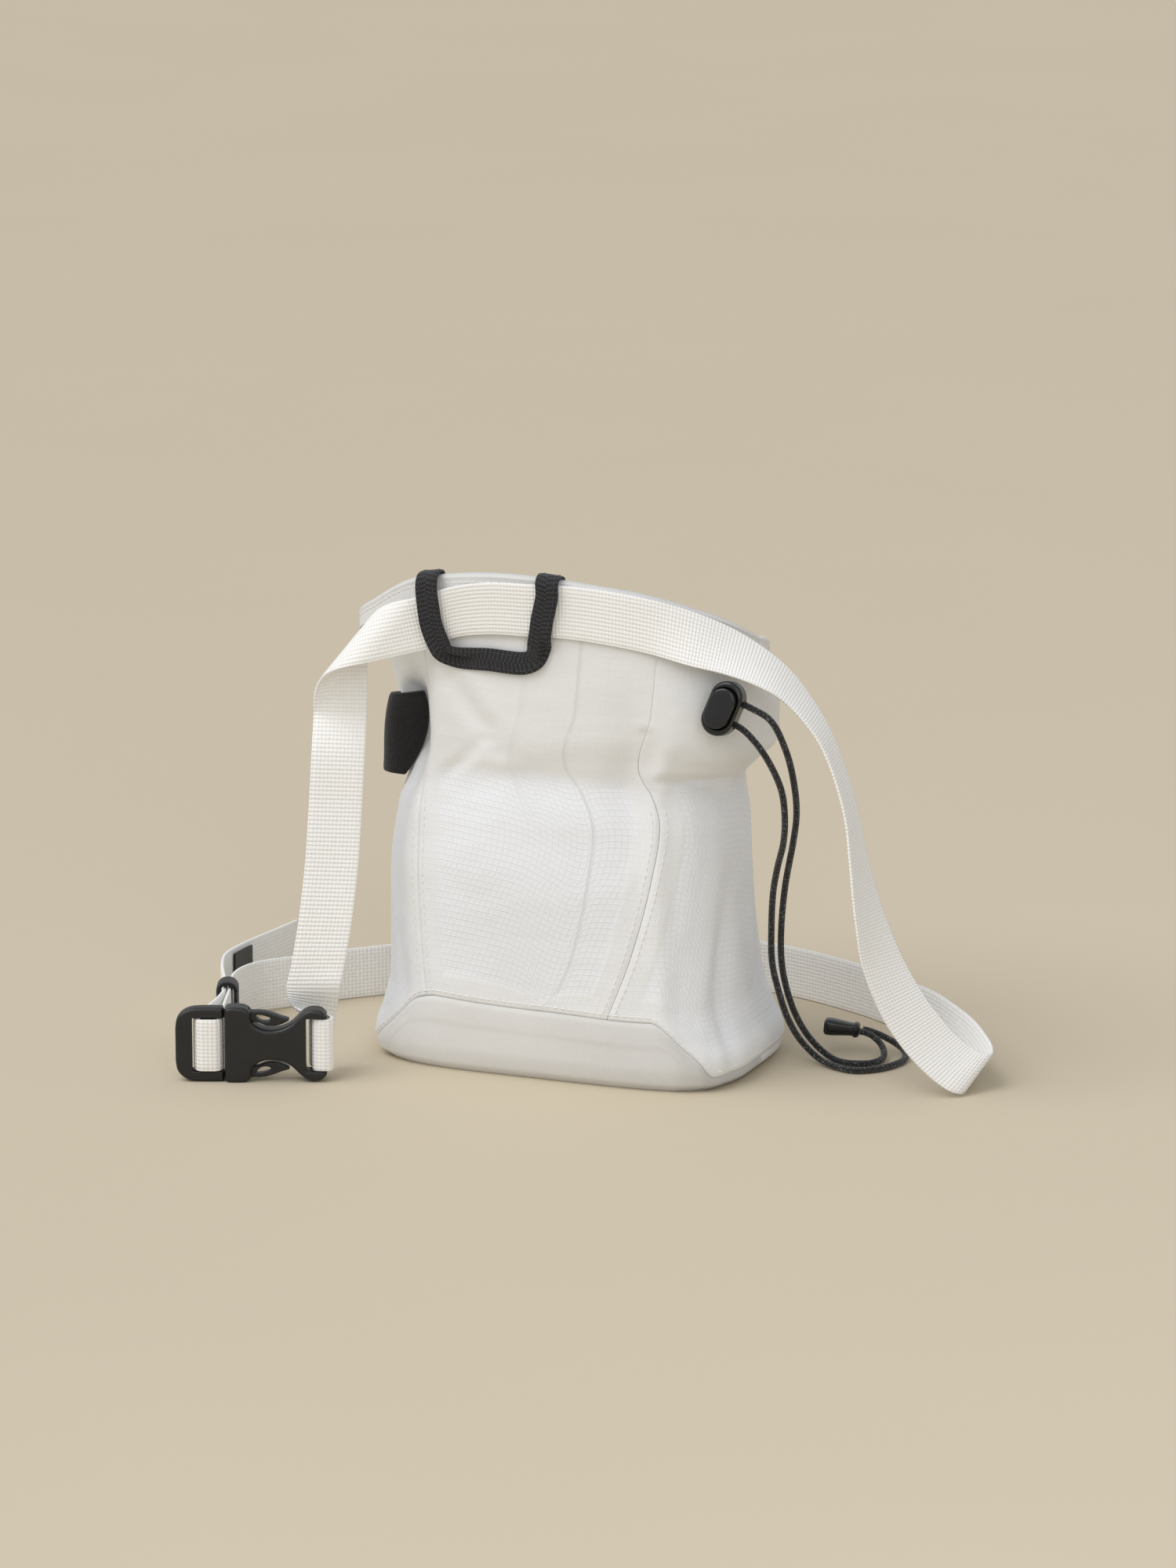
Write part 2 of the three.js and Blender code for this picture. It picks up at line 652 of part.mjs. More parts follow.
// Round the plug's bar: x and y in the buckle's frame from the bar's middle, in belt thicknesses
const PLUG_LOOP = [
  { x: 3.89, y: 38 },
  { x: 3.89, y: 30 },
  { x: 3.50, y: 20 },
  { x: 3.20, y: 10 },
  { x: 3.10, y: 4.0 },
  { x: 3.45, y: 1.2 },
  { x: 3.20, y: -0.9 },
  { x: 2.20, y: -2.15 },
  { x: 0.00, y: -2.35 },
  { x: -2.20, y: -2.15 },
  { x: -3.35, y: -0.9 },
  { x: -3.65, y: 1.2 },
  { x: -3.10, y: 4.0 },
  { x: -1.60, y: 10 },
  { x: 0.90, y: 20 },
  { x: 2.50, y: 30 },
  { x: 2.50, y: 38 },
];

// The free end, from the keeper to the folded hem
const TAIL = [
  { x: -1.840, y: -0.565, z: 0.069 },
  { x: -1.960, y: -0.174, z: 0.067 },
  { x: -2.020, y: 0.130, z: 0.064 },
  { x: -2.033, y: 0.522, z: 0.061 },
  { x: -2.013, y: 0.870, z: 0.060 },
  { x: -1.987, y: 1.217, z: 0.060 },
  { x: -1.973, y: 1.391, z: 0.060 },
];

function bodyPoint({ x, y, z }) {
  return new THREE.Vector3(x * HALF_WIDTH, y * HALF_DEPTH, z * RIM_HEIGHT);
}

function stationLine(station) {
  return crossLine(bodyPoint(station), direction(station.heading, station.rise));
}

// The y of the front cloth, or of the rim hoop where it stands proud, moved outward
function frontFace(x, z, outward) {
  const cloth = frontAt(x, z, outward);
  const rim = rimHeight(cloth.turn);
  if (z < rim - RIM_BAND_HEIGHT - CLEARANCE) return cloth.y;
  const hoop = frontAt(x, rim - RIM_BAND_HEIGHT / 2, outward + RIM_BAND_PROUD);
  return Math.min(cloth.y, hoop.y);
}

const RUN_SAMPLES = 8;

// A line of the front run, leaning on whatever stands out furthest behind it
function frontRunLine({ x, up }) {
  const outward = CLEARANCE + BELT_THICKNESS / 2;
  const points = [];
  for (let k = 0; k <= RUN_SAMPLES; k += 1) {
    const z = up * RIM_HEIGHT + BELT_WIDTH * (k / RUN_SAMPLES - 0.5);
    points.push(new THREE.Vector3(x * HALF_WIDTH, frontFace(x * HALF_WIDTH, z, outward), z));
  }
  const foot = points[0];
  const head = points[RUN_SAMPLES];
  const misses = points.map((p, k) => p.y - THREE.MathUtils.lerp(foot.y, head.y, k / RUN_SAMPLES));
  const shift = Math.min(...misses);
  const across = head.clone().sub(foot).normalize();
  const middle = foot.clone().lerp(head, 0.5);
  middle.y += shift;
  return crossLine(middle, across);
}

function shoulderLines() {
  const travel = direction(BUCKLE_HEADING + 180, -SHOULDER_SLOPE);
  const across = direction(BUCKLE_HEADING + 180, 90 - SHOULDER_SLOPE);
  return foldLines({
    at: bodyPoint(SHOULDER),
    travel,
    across,
    angle: SHOULDER_ANGLE,
    radius: SHOULDER_RADIUS,
    behind: awayFromViewer,
    from: -SHOULDER_REACH,
    to: SHOULDER_REACH,
    count: 20,
  }).reverse();
}

const socketBarX = BUCKLE_LENGTH / 2 - SOCKET_BAR_WIDTH / 2;
const plugBarX = -BUCKLE_LENGTH / 2 + PLUG_BAR_INSET;
const plugLoopPoint = ({ x, y }) => {
  const near = KEEPER_DROP * THREE.MathUtils.smoothstep(y, 4, 30);
  return atBuckle(plugBarX + x * BELT_THICKNESS, y * BELT_THICKNESS, -near);
};

function beltLines() {
  const socketPoint = ({ x, y }) => atBuckle(socketBarX + x * BELT_THICKNESS, y * BELT_THICKNESS, 0);
  const turnAcross = ([x, y, z]) => new THREE.Vector3(x, y, z).normalize()
    .transformDirection(buckleTurn);
  const footPoint = ({ x, y, z }) => (
    atBuckle(socketBarX + x * BELT_WIDTH, y * BELT_WIDTH, z * BELT_WIDTH)
  );
  return [
    ...SOCKET_LOOP.map((row) => crossLine(socketPoint(row), DOWN)),
    ...FOOT.map((row) => crossLine(footPoint(row), turnAcross(row.across))),
    ...LEFT_DROP.map(stationLine),
    ...shoulderLines(),
    ...FRONT_RUN.map(frontRunLine),
    ...RIGHT_DROP.map(stationLine),
    ...PLUG_LOOP.map((row) => crossLine(plugLoopPoint(row), UP)),
    ...TAIL.map((row) => crossLine(bodyPoint(row), UP)),
  ];
}

const belt = smoothLines(beltLines(), BELT_STEP);

// The black tape that holds the belt, from the left leg round the mitred bar to the right leg:
// x as a share of HALF_WIDTH, drop as a share of RIM_HEIGHT below the rim, turn of its run in degrees
const LOOP_TAPE = [
  { x: -0.555, drop: 0.045, turn: 275 },
  { x: -0.545, drop: 0.078, turn: 276 },
  { x: -0.535, drop: 0.108, turn: 279 },
  { x: -0.512, drop: 0.136, turn: 290 },
  { x: -0.482, drop: 0.160, turn: 318 },
  { x: -0.440, drop: 0.172, turn: 358 },
  { x: -0.240, drop: 0.171, turn: 360 },
  { x: -0.030, drop: 0.170, turn: 362 },
  { x: 0.016, drop: 0.159, turn: 402 },
  { x: 0.046, drop: 0.134, turn: 434 },
  { x: 0.056, drop: 0.115, turn: 440 },
  { x: 0.072, drop: 0.080, turn: 442 },
  { x: 0.098, drop: 0.035, turn: 441 },
];
const LOOP_STEP = 5;
const LOOP_EASE = 0.2;
const LOOP_LOOK = 2.6 * BELT_THICKNESS;
const LOOP_HEM = 7;

// The y of the belt's middle surface where it passes a place on the front, if it does
function beltAt(x, z) {
  let nearest = Infinity;
  for (let i = 0; i + 1 < belt.length; i += 1) {
    const corners = [belt[i][0], belt[i][ACROSS], belt[i + 1][ACROSS], belt[i + 1][0]];
    const low = Math.min(...corners.map((p) => p.x));
    const high = Math.max(...corners.map((p) => p.x));
    if (x < low || x > high || corners[0].z < NECK_HEIGHT) continue;
    for (const [a, b, c] of [[0, 1, 2], [0, 2, 3]]) {
      const [p, q, r] = [corners[a], corners[b], corners[c]];
      const area = (q.x - p.x) * (r.z - p.z) - (r.x - p.x) * (q.z - p.z);
      const second = ((x - p.x) * (r.z - p.z) - (r.x - p.x) * (z - p.z)) / area;
      const third = ((q.x - p.x) * (z - p.z) - (x - p.x) * (q.z - p.z)) / area;
      const first = 1 - second - third;
      if (Math.min(first, second, third) < 0) continue;
      nearest = Math.min(nearest, first * p.y + second * q.y + third * r.y);
    }
  }
  return nearest;
}

// The y of the tape's middle surface: outside the cloth, the rim hoop and the belt near there
function loopFace(x, z) {
  const half = LOOP_TAPE_THICKNESS / 2 + CLEARANCE + LOOP_EASE;
  const faces = [];
  for (const dz of [-LOOP_LOOK, 0, LOOP_LOOK]) {
    faces.push(frontFace(x, z + dz, half));
    for (const dx of [-LOOP_LOOK, 0, LOOP_LOOK]) {
      faces.push(beltAt(x + dx, z + dz) - BELT_THICKNESS / 2 - half);
    }
  }
  return Math.min(...faces);
}

// A line of the tape where it turns over the rim hoop. angle 0 is outside, 180 inside.
function overRimLine(x, angle, below, side) {
  const seat = RIM_BAND_THICKNESS / 2 + CLEARANCE + LOOP_TAPE_THICKNESS / 2 + LOOP_EASE;
  const line = [];
  for (let k = 0; k <= ACROSS; k += 1) {
    const px = x + side * LOOP_TAPE_WIDTH * (k / ACROSS - 0.5);
    const rim = rimHeight(frontAt(px, RIM_HEIGHT - RIM_BAND_HEIGHT / 2).turn);
    const outside = loopFace(px, rim - RIM_BAND_THICKNESS);
    const inside = frontAt(px, rim - RIM_BAND_HEIGHT / 2, -CLOTH / 2 - seat).y;
    const share = (1 - Math.cos(angle * DEGREE)) / 2;
    const rise = seat * Math.sin(angle * DEGREE) - RIM_BAND_THICKNESS / 2;
    const y = THREE.MathUtils.lerp(outside, inside, share);
    line.push(new THREE.Vector3(px, y, rim + rise - below));
  }
  return line;
}

function beltLoop() {
  const overRim = (row, side) => [
    overRimLine(row.x * HALF_WIDTH, 180, LOOP_HEM, side),
    ...[180, 135, 90, 45, 0].map((angle) => overRimLine(row.x * HALF_WIDTH, angle, 0, side)),
  ];
  const front = LOOP_TAPE.map(({ x, drop, turn }) => {
    const middle = new THREE.Vector3(x * HALF_WIDTH, 0, RIM_HEIGHT * (1 - drop));
    const heading = (turn + 90) * DEGREE;
    const across = new THREE.Vector3(Math.cos(heading), 0, Math.sin(heading));
    const line = crossLine(middle, across, LOOP_TAPE_WIDTH);
    for (const p of line) p.y = loopFace(p.x, p.z);
    return line;
  });
  const lines = [
    ...overRim(LOOP_TAPE[0], 1),
    ...front,
    ...overRim(LOOP_TAPE[LOOP_TAPE.length - 1], -1).reverse(),
  ];
  return band(smoothLines(lines, LOOP_STEP), LOOP_TAPE_THICKNESS);
}

// A line across a band from low to high, bowed so that it passes through middle
function bowedLine(low, middle, high) {
  const line = [];
  for (let k = 0; k <= ACROSS; k += 1) {
    const t = k / ACROSS;
    line.push(low.clone().multiplyScalar((1 - t) * (1 - 2 * t))
      .addScaledVector(middle, 4 * t * (1 - t))
      .addScaledVector(high, t * (2 * t - 1)));
  }
  return line;
}

// The elastic sleeve for a brush: an arch on the left side, between two turns and two levels
const SLEEVE = { fromTurn: 180, toTurn: 199, lowLevel: 0.95, highLevel: 1.45, lean: 22, rows: 14 };

function brushSleeve() {
  const lines = [];
  for (let i = 0; i <= SLEEVE.rows; i += 1) {
    const share = i / SLEEVE.rows;
    const turn = SLEEVE.fromTurn + (SLEEVE.toTurn - SLEEVE.fromTurn) * share;
    const rise = SLEEVE_EASE + SLEEVE_RISE * Math.sin(Math.PI * share) ** 0.6;
    const lift = CLEARANCE + SLEEVE_THICKNESS / 2 + rise;
    const low = shell(turn, SLEEVE.lowLevel, lift);
    const middleLevel = (SLEEVE.lowLevel + SLEEVE.highLevel) / 2;
    const middle = shell(turn + SLEEVE.lean / 2, middleLevel, lift + SLEEVE_BOW);
    const high = shell(turn + SLEEVE.lean, SLEEVE.highLevel, lift);
    lines.push(bowedLine(low, middle, high));
  }
  return band(lines, SLEEVE_THICKNESS);
}

// Elastic keeper round both layers of the belt behind the plug
function keeper() {
  const first = PLUG_LOOP[0];
  const last = PLUG_LOOP[PLUG_LOOP.length - 1];
  const innerX = (BELT_THICKNESS * (first.x - last.x + 1)) / 2 + CLEARANCE;
  const innerZ = BELT_WIDTH / 2 + CLEARANCE;
  const shape = roundedRectangle(innerX + KEEPER_WALL, innerZ + KEEPER_WALL, KEEPER_CORNER);
  shape.holes.push(roundedRectangle(innerX, innerZ, KEEPER_INNER_CORNER));
  const geometry = plate(shape, KEEPER_LENGTH, 0);
  const middle = plugLoopPoint({
    x: (first.x + last.x) / 2,
    y: (first.y + PLUG_LOOP[1].y) / 2,
  });
  return geometry.rotateZ(BUCKLE_HEADING * DEGREE).translate(middle.x, middle.y, middle.z);
}

const LABEL = { from: 0.42, to: 0.60, height: 0.84, step: 2 };

// The plain label sewn to the inner face of the belt's free end
function beltLabel() {
  const width = BELT_WIDTH * LABEL.height;
  const tail = smoothLines(TAIL.map((row) => crossLine(bodyPoint(row), UP, width)), LABEL.step);
  const first = Math.round(LABEL.from * tail.length);
  const last = Math.round(LABEL.to * tail.length);
  const offset = BELT_THICKNESS / 2 + CLEARANCE + LABEL_THICKNESS / 2;
  return band(tail.slice(first, last + 1), LABEL_THICKNESS, offset);
}

function roundedRectangle(halfX, halfY, radius) {
  const shape = new THREE.Shape();
  shape.moveTo(-halfX + radius, -halfY);
  shape.lineTo(halfX - radius, -halfY);
  shape.absarc(halfX - radius, -halfY + radius, radius, -Math.PI / 2, 0);
  shape.lineTo(halfX, halfY - radius);
  shape.absarc(halfX - radius, halfY - radius, radius, 0, Math.PI / 2);
  shape.lineTo(-halfX + radius, halfY);
  shape.absarc(-halfX + radius, halfY - radius, radius, Math.PI / 2, Math.PI);
  shape.lineTo(-halfX, -halfY + radius);
  shape.absarc(-halfX + radius, -halfY + radius, radius, Math.PI, Math.PI * 1.5);
  return shape;
}

const ARC_STEPS = 4;

// A plate with the outline standing in the XZ plane and its thickness along Y, edges chamfered
function plate(shape, thickness, bevel) {
  const geometry = new THREE.ExtrudeGeometry(shape, {
    depth: thickness - 2 * bevel,
    bevelEnabled: bevel > 0,
    bevelThickness: bevel,
    bevelSize: bevel,
    bevelOffset: -bevel,
    bevelSegments: 1,
    curveSegments: ARC_STEPS,
  });
  return geometry.translate(0, 0, bevel - thickness / 2).rotateX(Math.PI / 2);
}

// A block between two corners of the buckle's frame
function block(fromX, toX, halfY, fromZ, toZ) {
  const geometry = new THREE.BoxGeometry(toX - fromX, 2 * halfY, toZ - fromZ);
  return toSolid(geometry.translate((fromX + toX) / 2, 0, (fromZ + toZ) / 2));
}

function mirroredShape(upper) {
  const shape = new THREE.Shape();
  upper.forEach(([x, z], i) => (i === 0 ? shape.moveTo(x, z) : shape.lineTo(x, z)));
  [...upper].reverse().forEach(([x, z]) => shape.lineTo(x, -z));
  return shape;
}

// Upper edge of the socket from its mouth to the bar, and of the plug from its outer end to the
// mouth. x is a share of BUCKLE_LENGTH from the middle, z a share of half the BUCKLE_HEIGHT.
const SOCKET_EDGE = [
  { x: -0.175, z: 0.930 },
  { x: -0.160, z: 1.000 },
  { x: -0.040, z: 1.000 },
  { x: -0.002, z: 0.880 },
  { x: 0.004, z: 0.640 },
  { x: 0.055, z: 0.470 },
  { x: 0.120, z: 0.400 },
  { x: 0.200, z: 0.440 },
  { x: 0.265, z: 0.570 },
  { x: 0.315, z: 0.760 },
  { x: 0.360, z: 0.910 },
  { x: 0.410, z: 0.960 },
  { x: 0.465, z: 0.930 },
  { x: 0.500, z: 0.800 },
];
const PLUG_EDGE_LINE = [
  { x: -0.500, z: 0.450 },
  { x: -0.488, z: 0.700 },
  { x: -0.450, z: 0.880 },
  { x: -0.395, z: 0.975 },
  { x: -0.330, z: 1.000 },
  { x: -0.182, z: 1.000 },
];
const PRONG_EDGE = [
  { x: -0.125, z: 0.880 },
  { x: 0.020, z: 0.895 },
  { x: 0.080, z: 0.890 },
  { x: 0.140, z: 0.830 },
  { x: 0.200, z: 0.740 },
  { x: 0.255, z: 0.660 },
  { x: 0.215, z: 0.560 },
  { x: 0.160, z: 0.490 },
  { x: 0.100, z: 0.500 },
  { x: 0.045, z: 0.590 },
  { x: 0.000, z: 0.600 },
  { x: -0.125, z: 0.600 },
];
const PRONG_WINDOW = [
  { x: 0.030, z: 0.780 },
  { x: 0.075, z: 0.780 },
  { x: 0.135, z: 0.680 },
  { x: 0.110, z: 0.610 },
  { x: 0.060, z: 0.640 },
];
const MOUTH_DEPTH = 5.2;
const CHANNEL_END = 1;
const CHANNEL_WALL = 2;
const YOKE_OVERLAP = 4;
const YOKE_CLEARANCE = 0.4;

const edgePoints = (rows) => rows.map(({ x, z }) => [x * BUCKLE_LENGTH, (z * BUCKLE_HEIGHT) / 2]);

function onBuckle(solid) {
  return toGeometry(solid).applyMatrix4(buckleTurn);
}

const mouthX = SOCKET_EDGE[0].x * BUCKLE_LENGTH;
const innerHeight = BUCKLE_HEIGHT / 2 - BUCKLE_WALL;
const slotHeight = BELT_WIDTH / 2 + CLEARANCE;
const barHeight = slotHeight + BAR_ROOT;
const channelHalf = BUCKLE_THICKNESS / 2 - CHANNEL_WALL;

function buckleSocket() {
  const outline = mirroredShape(edgePoints(SOCKET_EDGE));
  let solid = toSolid(plate(outline, BUCKLE_THICKNESS, BUCKLE_BEVEL));
  const barLeft = BUCKLE_LENGTH / 2 - SOCKET_BAR_WIDTH;
  const slotLeft = barLeft - SOCKET_SLOT;
  const pastEnd = BUCKLE_LENGTH;
  solid = solid.subtract(block(slotLeft, pastEnd, BUCKLE_THICKNESS, -slotHeight, slotHeight));
  solid = solid.add(block(barLeft, BUCKLE_LENGTH / 2, BAR_THICKNESS / 2, -barHeight, barHeight));
  const mouthEnd = mouthX + MOUTH_DEPTH;
  const beforeMouth = mouthX - BAR_ROOT;
  solid = solid.subtract(block(beforeMouth, mouthEnd, channelHalf, -innerHeight, innerHeight));
  const channelFoot = PRONG_EDGE[PRONG_EDGE.length - 1].z * (BUCKLE_HEIGHT / 2) - YOKE_CLEARANCE;
  for (const side of [-1, 1]) {
    const low = side > 0 ? channelFoot : -innerHeight;
    const high = side > 0 ? innerHeight : -channelFoot;
    solid = solid.subtract(block(mouthX, CHANNEL_END, channelHalf, low, high));
  }
  return onBuckle(solid);
}

function bucklePlug() {
  const left = -BUCKLE_LENGTH / 2;
  const frame = mirroredShape(edgePoints(PLUG_EDGE_LINE));
  let solid = toSolid(plate(frame, FRAME_THICKNESS, BUCKLE_BEVEL));
  const yokeHalf = channelHalf - YOKE_CLEARANCE;
  const yokeHeight = innerHeight - YOKE_CLEARANCE;
  const windowLeft = left + PLUG_EDGE;
  const windowRight = windowLeft + PLUG_WINDOW;
  const yokeEnd = mouthX + MOUTH_DEPTH - YOKE_CLEARANCE;
  const yokeStart = mouthX - YOKE_OVERLAP;
  solid = solid.add(block(yokeStart, yokeEnd, yokeHalf, -yokeHeight, yokeHeight));
  solid = solid.subtract(block(windowLeft, windowRight, BUCKLE_THICKNESS, -slotHeight, slotHeight));
  const barLeft = plugBarX - PLUG_BAR_WIDTH / 2;
  const barRight = plugBarX + PLUG_BAR_WIDTH / 2;
  solid = solid.add(block(barLeft, barRight, BAR_THICKNESS / 2, -barHeight, barHeight));
  const outline = edgePoints(PRONG_EDGE).map(([x, z]) => new THREE.Vector2(x, z)).reverse();
  const window = edgePoints(PRONG_WINDOW).map(([x, z]) => new THREE.Vector2(x, z)).reverse();
  const shape = new THREE.Shape(outline);
  shape.holes.push(new THREE.Path(window));
  const prong = toSolid(plate(shape, 2 * yokeHalf, 0));
  solid = solid.add(prong).add(prong.mirror([0, 0, 1]));
  return onBuckle(solid);
}

// Cord lock frame: x across to the right, y along its length, z out of its button
const LOCK = { x: 0.955, z: 0.757, heading: 273, rise: 12, roll: 20 };
const SEAT_SAMPLES = 24;
const lockOut = direction(LOCK.heading, LOCK.rise);
const lockLevel = direction(LOCK.heading + 90, 0);
const lockUp = lockOut.clone().cross(lockLevel).normalize();
const lockLong = lockUp.clone().multiplyScalar(Math.cos(LOCK.roll * DEGREE))
  .addScaledVector(lockLevel, Math.sin(LOCK.roll * DEGREE));
const lockWide = lockLong.clone().cross(lockOut);

// The lock rests with its back against the cloth
function lockMatrix() {
  const matrix = new THREE.Matrix4().makeBasis(lockWide, lockLong, lockOut);
  const back = new THREE.Vector3(LOCK.x * HALF_WIDTH, 0, LOCK.z * RIM_HEIGHT);
  let seat = Infinity;
  for (let i = 0; i < SEAT_SAMPLES; i += 1) {
    const angle = (i / SEAT_SAMPLES) * 2 * Math.PI;
    const edge = new THREE.Vector3(
      (LOCK_WIDTH / 2) * Math.cos(angle),
      (LOCK_LENGTH / 2) * Math.sin(angle),
      0,
    ).applyMatrix4(matrix).add(back);
    seat = Math.min(seat, frontAt(edge.x, edge.z, CLEARANCE).y - edge.y);
  }
  back.y = seat;
  return matrix.setPosition(back);
}

const atLock = lockMatrix();

function oval(width, length) {
  const radius = width / 2;
  return roundedRectangle(radius, length / 2, radius * 0.98);
}

// A post along the lock's press axis
function post(width, length, from, to, bevel) {
  const geometry = new THREE.ExtrudeGeometry(oval(width, length), {
    depth: to - from - 2 * bevel,
    bevelEnabled: bevel > 0,
    bevelThickness: bevel,
    bevelSize: bevel,
    bevelOffset: -bevel,
    bevelSegments: 1,
    curveSegments: ARC_STEPS + 1,
  });
  return geometry.translate(0, 0, from + bevel);
}

const bodyTop = LOCK_THICKNESS - BUTTON_PROUD;
const pocketFloor = CORD_LEVEL + CORD_DIAMETER / 2;

function lockBody() {
  let solid = toSolid(post(LOCK_WIDTH, LOCK_LENGTH, 0, bodyTop, LOCK_BEVEL));
  const pocketWidth = BUTTON_WIDTH + 2 * CLEARANCE;
  const pocketLength = BUTTON_LENGTH + 2 * CLEARANCE;
  const pocket = post(pocketWidth, pocketLength, pocketFloor, LOCK_THICKNESS, 0);
  solid = solid.subtract(toSolid(pocket));
  const boreRadius = CORD_DIAMETER / 2 + CLEARANCE;
  for (const side of [-1, 1]) {
    const bore = new THREE.CylinderGeometry(boreRadius, boreRadius, LOCK_WIDTH, BORE_SIDES);
    bore.rotateZ(Math.PI / 2).translate(LOCK_WIDTH / 2, (side * CORD_SPACING) / 2, CORD_LEVEL);
    solid = solid.subtract(toSolid(bore));
  }
  return toGeometry(solid).applyMatrix4(atLock);
}

function lockButton() {
  const foot = pocketFloor + LOCK_TRAVEL + CLEARANCE;
  return post(BUTTON_WIDTH, BUTTON_LENGTH, foot, LOCK_THICKNESS, BUTTON_BEVEL).applyMatrix4(atLock);
}

// Drawcord: each strand leaves its bore of the lock and runs through these points to the end piece
const UPPER_STRAND = [
  [89.0, -33.5, 144.6],
  [93.4, -28.0, 131.8],
  [94.6, -22.0, 116.9],
  [93.4, -16.5, 105.0],
  [90.4, -11.8, 93.0],
  [87.8, -8.6, 84.5],
  [84.8, -4.8, 74.0],
  [82.0, -0.8, 58.0],
  [80.6, 3.4, 43.2],
  [80.9, 8.0, 31.5],
  [83.2, 12.2, 20.0],
  [86.6, 16.8, 10.8],
  [91.4, 20.2, 4.2],
  [97.6, 19.4, 1.4],
  [105.0, 18.1, 1.4],
  [111.0, 21.7, 1.4],
  [112.8, 29.0, 2.0],
  [110.0, 34.8, 4.6],
  [105.4, 36.6, 7.6],
  [101.8, 36.4, 8.7],
];
const LOWER_STRAND = [
  [84.8, -35.4, 135.2],
  [88.6, -30.4, 126.0],
  [90.8, -25.6, 116.0],
  [90.6, -21.4, 105.0],
  [88.2, -16.2, 94.0],
  [84.2, -11.2, 83.5],
  [81.0, -7.2, 72.5],
  [78.9, -3.2, 57.6],
  [77.8, 0.8, 42.8],
  [78.8, 5.0, 31.0],
  [81.4, 9.0, 18.7],
  [85.2, 13.0, 9.6],
  [91.6, 14.8, 3.0],
  [100.5, 11.0, 1.4],
  [108.3, 9.2, 1.4],
  [115.0, 14.0, 1.4],
  [119.4, 22.1, 1.4],
  [120.6, 31.0, 1.4],
  [118.0, 38.4, 2.2],
  [112.4, 42.6, 4.0],
  [106.6, 42.2, 6.6],
  [102.0, 39.6, 8.7],
];
const CORD_STEPS = 42;
const CORD_SIDES = 8;
const CORD_END = { x: 99.9, y: 38.0, z: 8.8, heading: 193, rise: 5 };

function drawcord(side, points) {
  const along = (side * CORD_SPACING) / 2;
  const bore = (x) => new THREE.Vector3(x, along, CORD_LEVEL).applyMatrix4(atLock);
  const route = [bore(2 * CLEARANCE), bore(LOCK_WIDTH / 2 + CORD_DIAMETER)];
  for (const p of points) route.push(new THREE.Vector3(...p));
  const last = route[route.length - 1];
  const into = direction(CORD_END.heading, CORD_END.rise);
  route.push(last.clone().addScaledVector(into, CORD_DIAMETER / 2));
  const ring = [];
  for (let k = 0; k < CORD_SIDES; k += 1) {
    const angle = (k / CORD_SIDES) * 2 * Math.PI;
    ring.push(new THREE.Vector2(Math.cos(angle), Math.sin(angle)).multiplyScalar(CORD_DIAMETER / 2));
  }
  const section = new THREE.Shape([...ring, ring[0].clone()]);
  return new THREE.ExtrudeGeometry(section, {
    steps: CORD_STEPS,
    extrudePath: new THREE.CatmullRomCurve3(route, false, 'centripetal'),
    bevelEnabled: false,
  });
}

// The tapered end piece that clamps both strands
function cordEnd() {
  const profile = [
    { along: 0.00, wide: 0.42, tall: 0.36 },
    { along: 0.14, wide: 0.46, tall: 0.40 },
    { along: 0.18, wide: 0.40, tall: 0.33 },
    { along: 0.90, wide: 0.52, tall: 0.44 },
    { along: 1.00, wide: 0.46, tall: 0.38 },
  ];
  const along = direction(CORD_END.heading, CORD_END.rise);
  const wide = direction(CORD_END.heading + 90, 0);
  const tall = along.clone().cross(wide).negate();
  const middle = new THREE.Vector3(CORD_END.x, CORD_END.y, CORD_END.z);
  const cut = 0.6;
  const corners = [
    [-1, -cut], [-cut, -1], [cut, -1], [1, -cut],
    [1, cut], [cut, 1], [-cut, 1], [-1, cut],
  ];
  const position = [];
  for (const row of profile) {
    for (const [a, b] of corners) {
      const p = middle.clone()
        .addScaledVector(along, row.along * CORD_END_LENGTH)
        .addScaledVector(wide, a * row.wide * CORD_END_WIDTH)
        .addScaledVector(tall, b * row.tall * CORD_END_WIDTH);
      position.push(p.x, p.y, p.z);
    }
  }
  const count = corners.length;
  const index = [];
  for (let i = 0; i + 1 < profile.length; i += 1) {
    for (let k = 0; k < count; k += 1) {
      const next = (k + 1) % count;
      const a = i * count + k;
      const b = i * count + next;
      index.push(a, b + count, b, a, a + count, b + count);
    }
  }
  const top = (profile.length - 1) * count;
  for (let k = 1; k + 1 < count; k += 1) index.push(0, k, k + 1, top, top + k + 1, top + k);
  const geometry = new THREE.BufferGeometry();
  geometry.setAttribute('position', new THREE.Float32BufferAttribute(position, 3));
  geometry.setIndex(index);
  return geometry;
}

const part = new THREE.Group();

function addPart(name, geometry, color, roughness, metalness = 0) {
  const material = new THREE.MeshStandardMaterial({ color, roughness, metalness });
  const mesh = new THREE.Mesh(geometry, material);
  mesh.name = name;
  part.add(mesh);
}

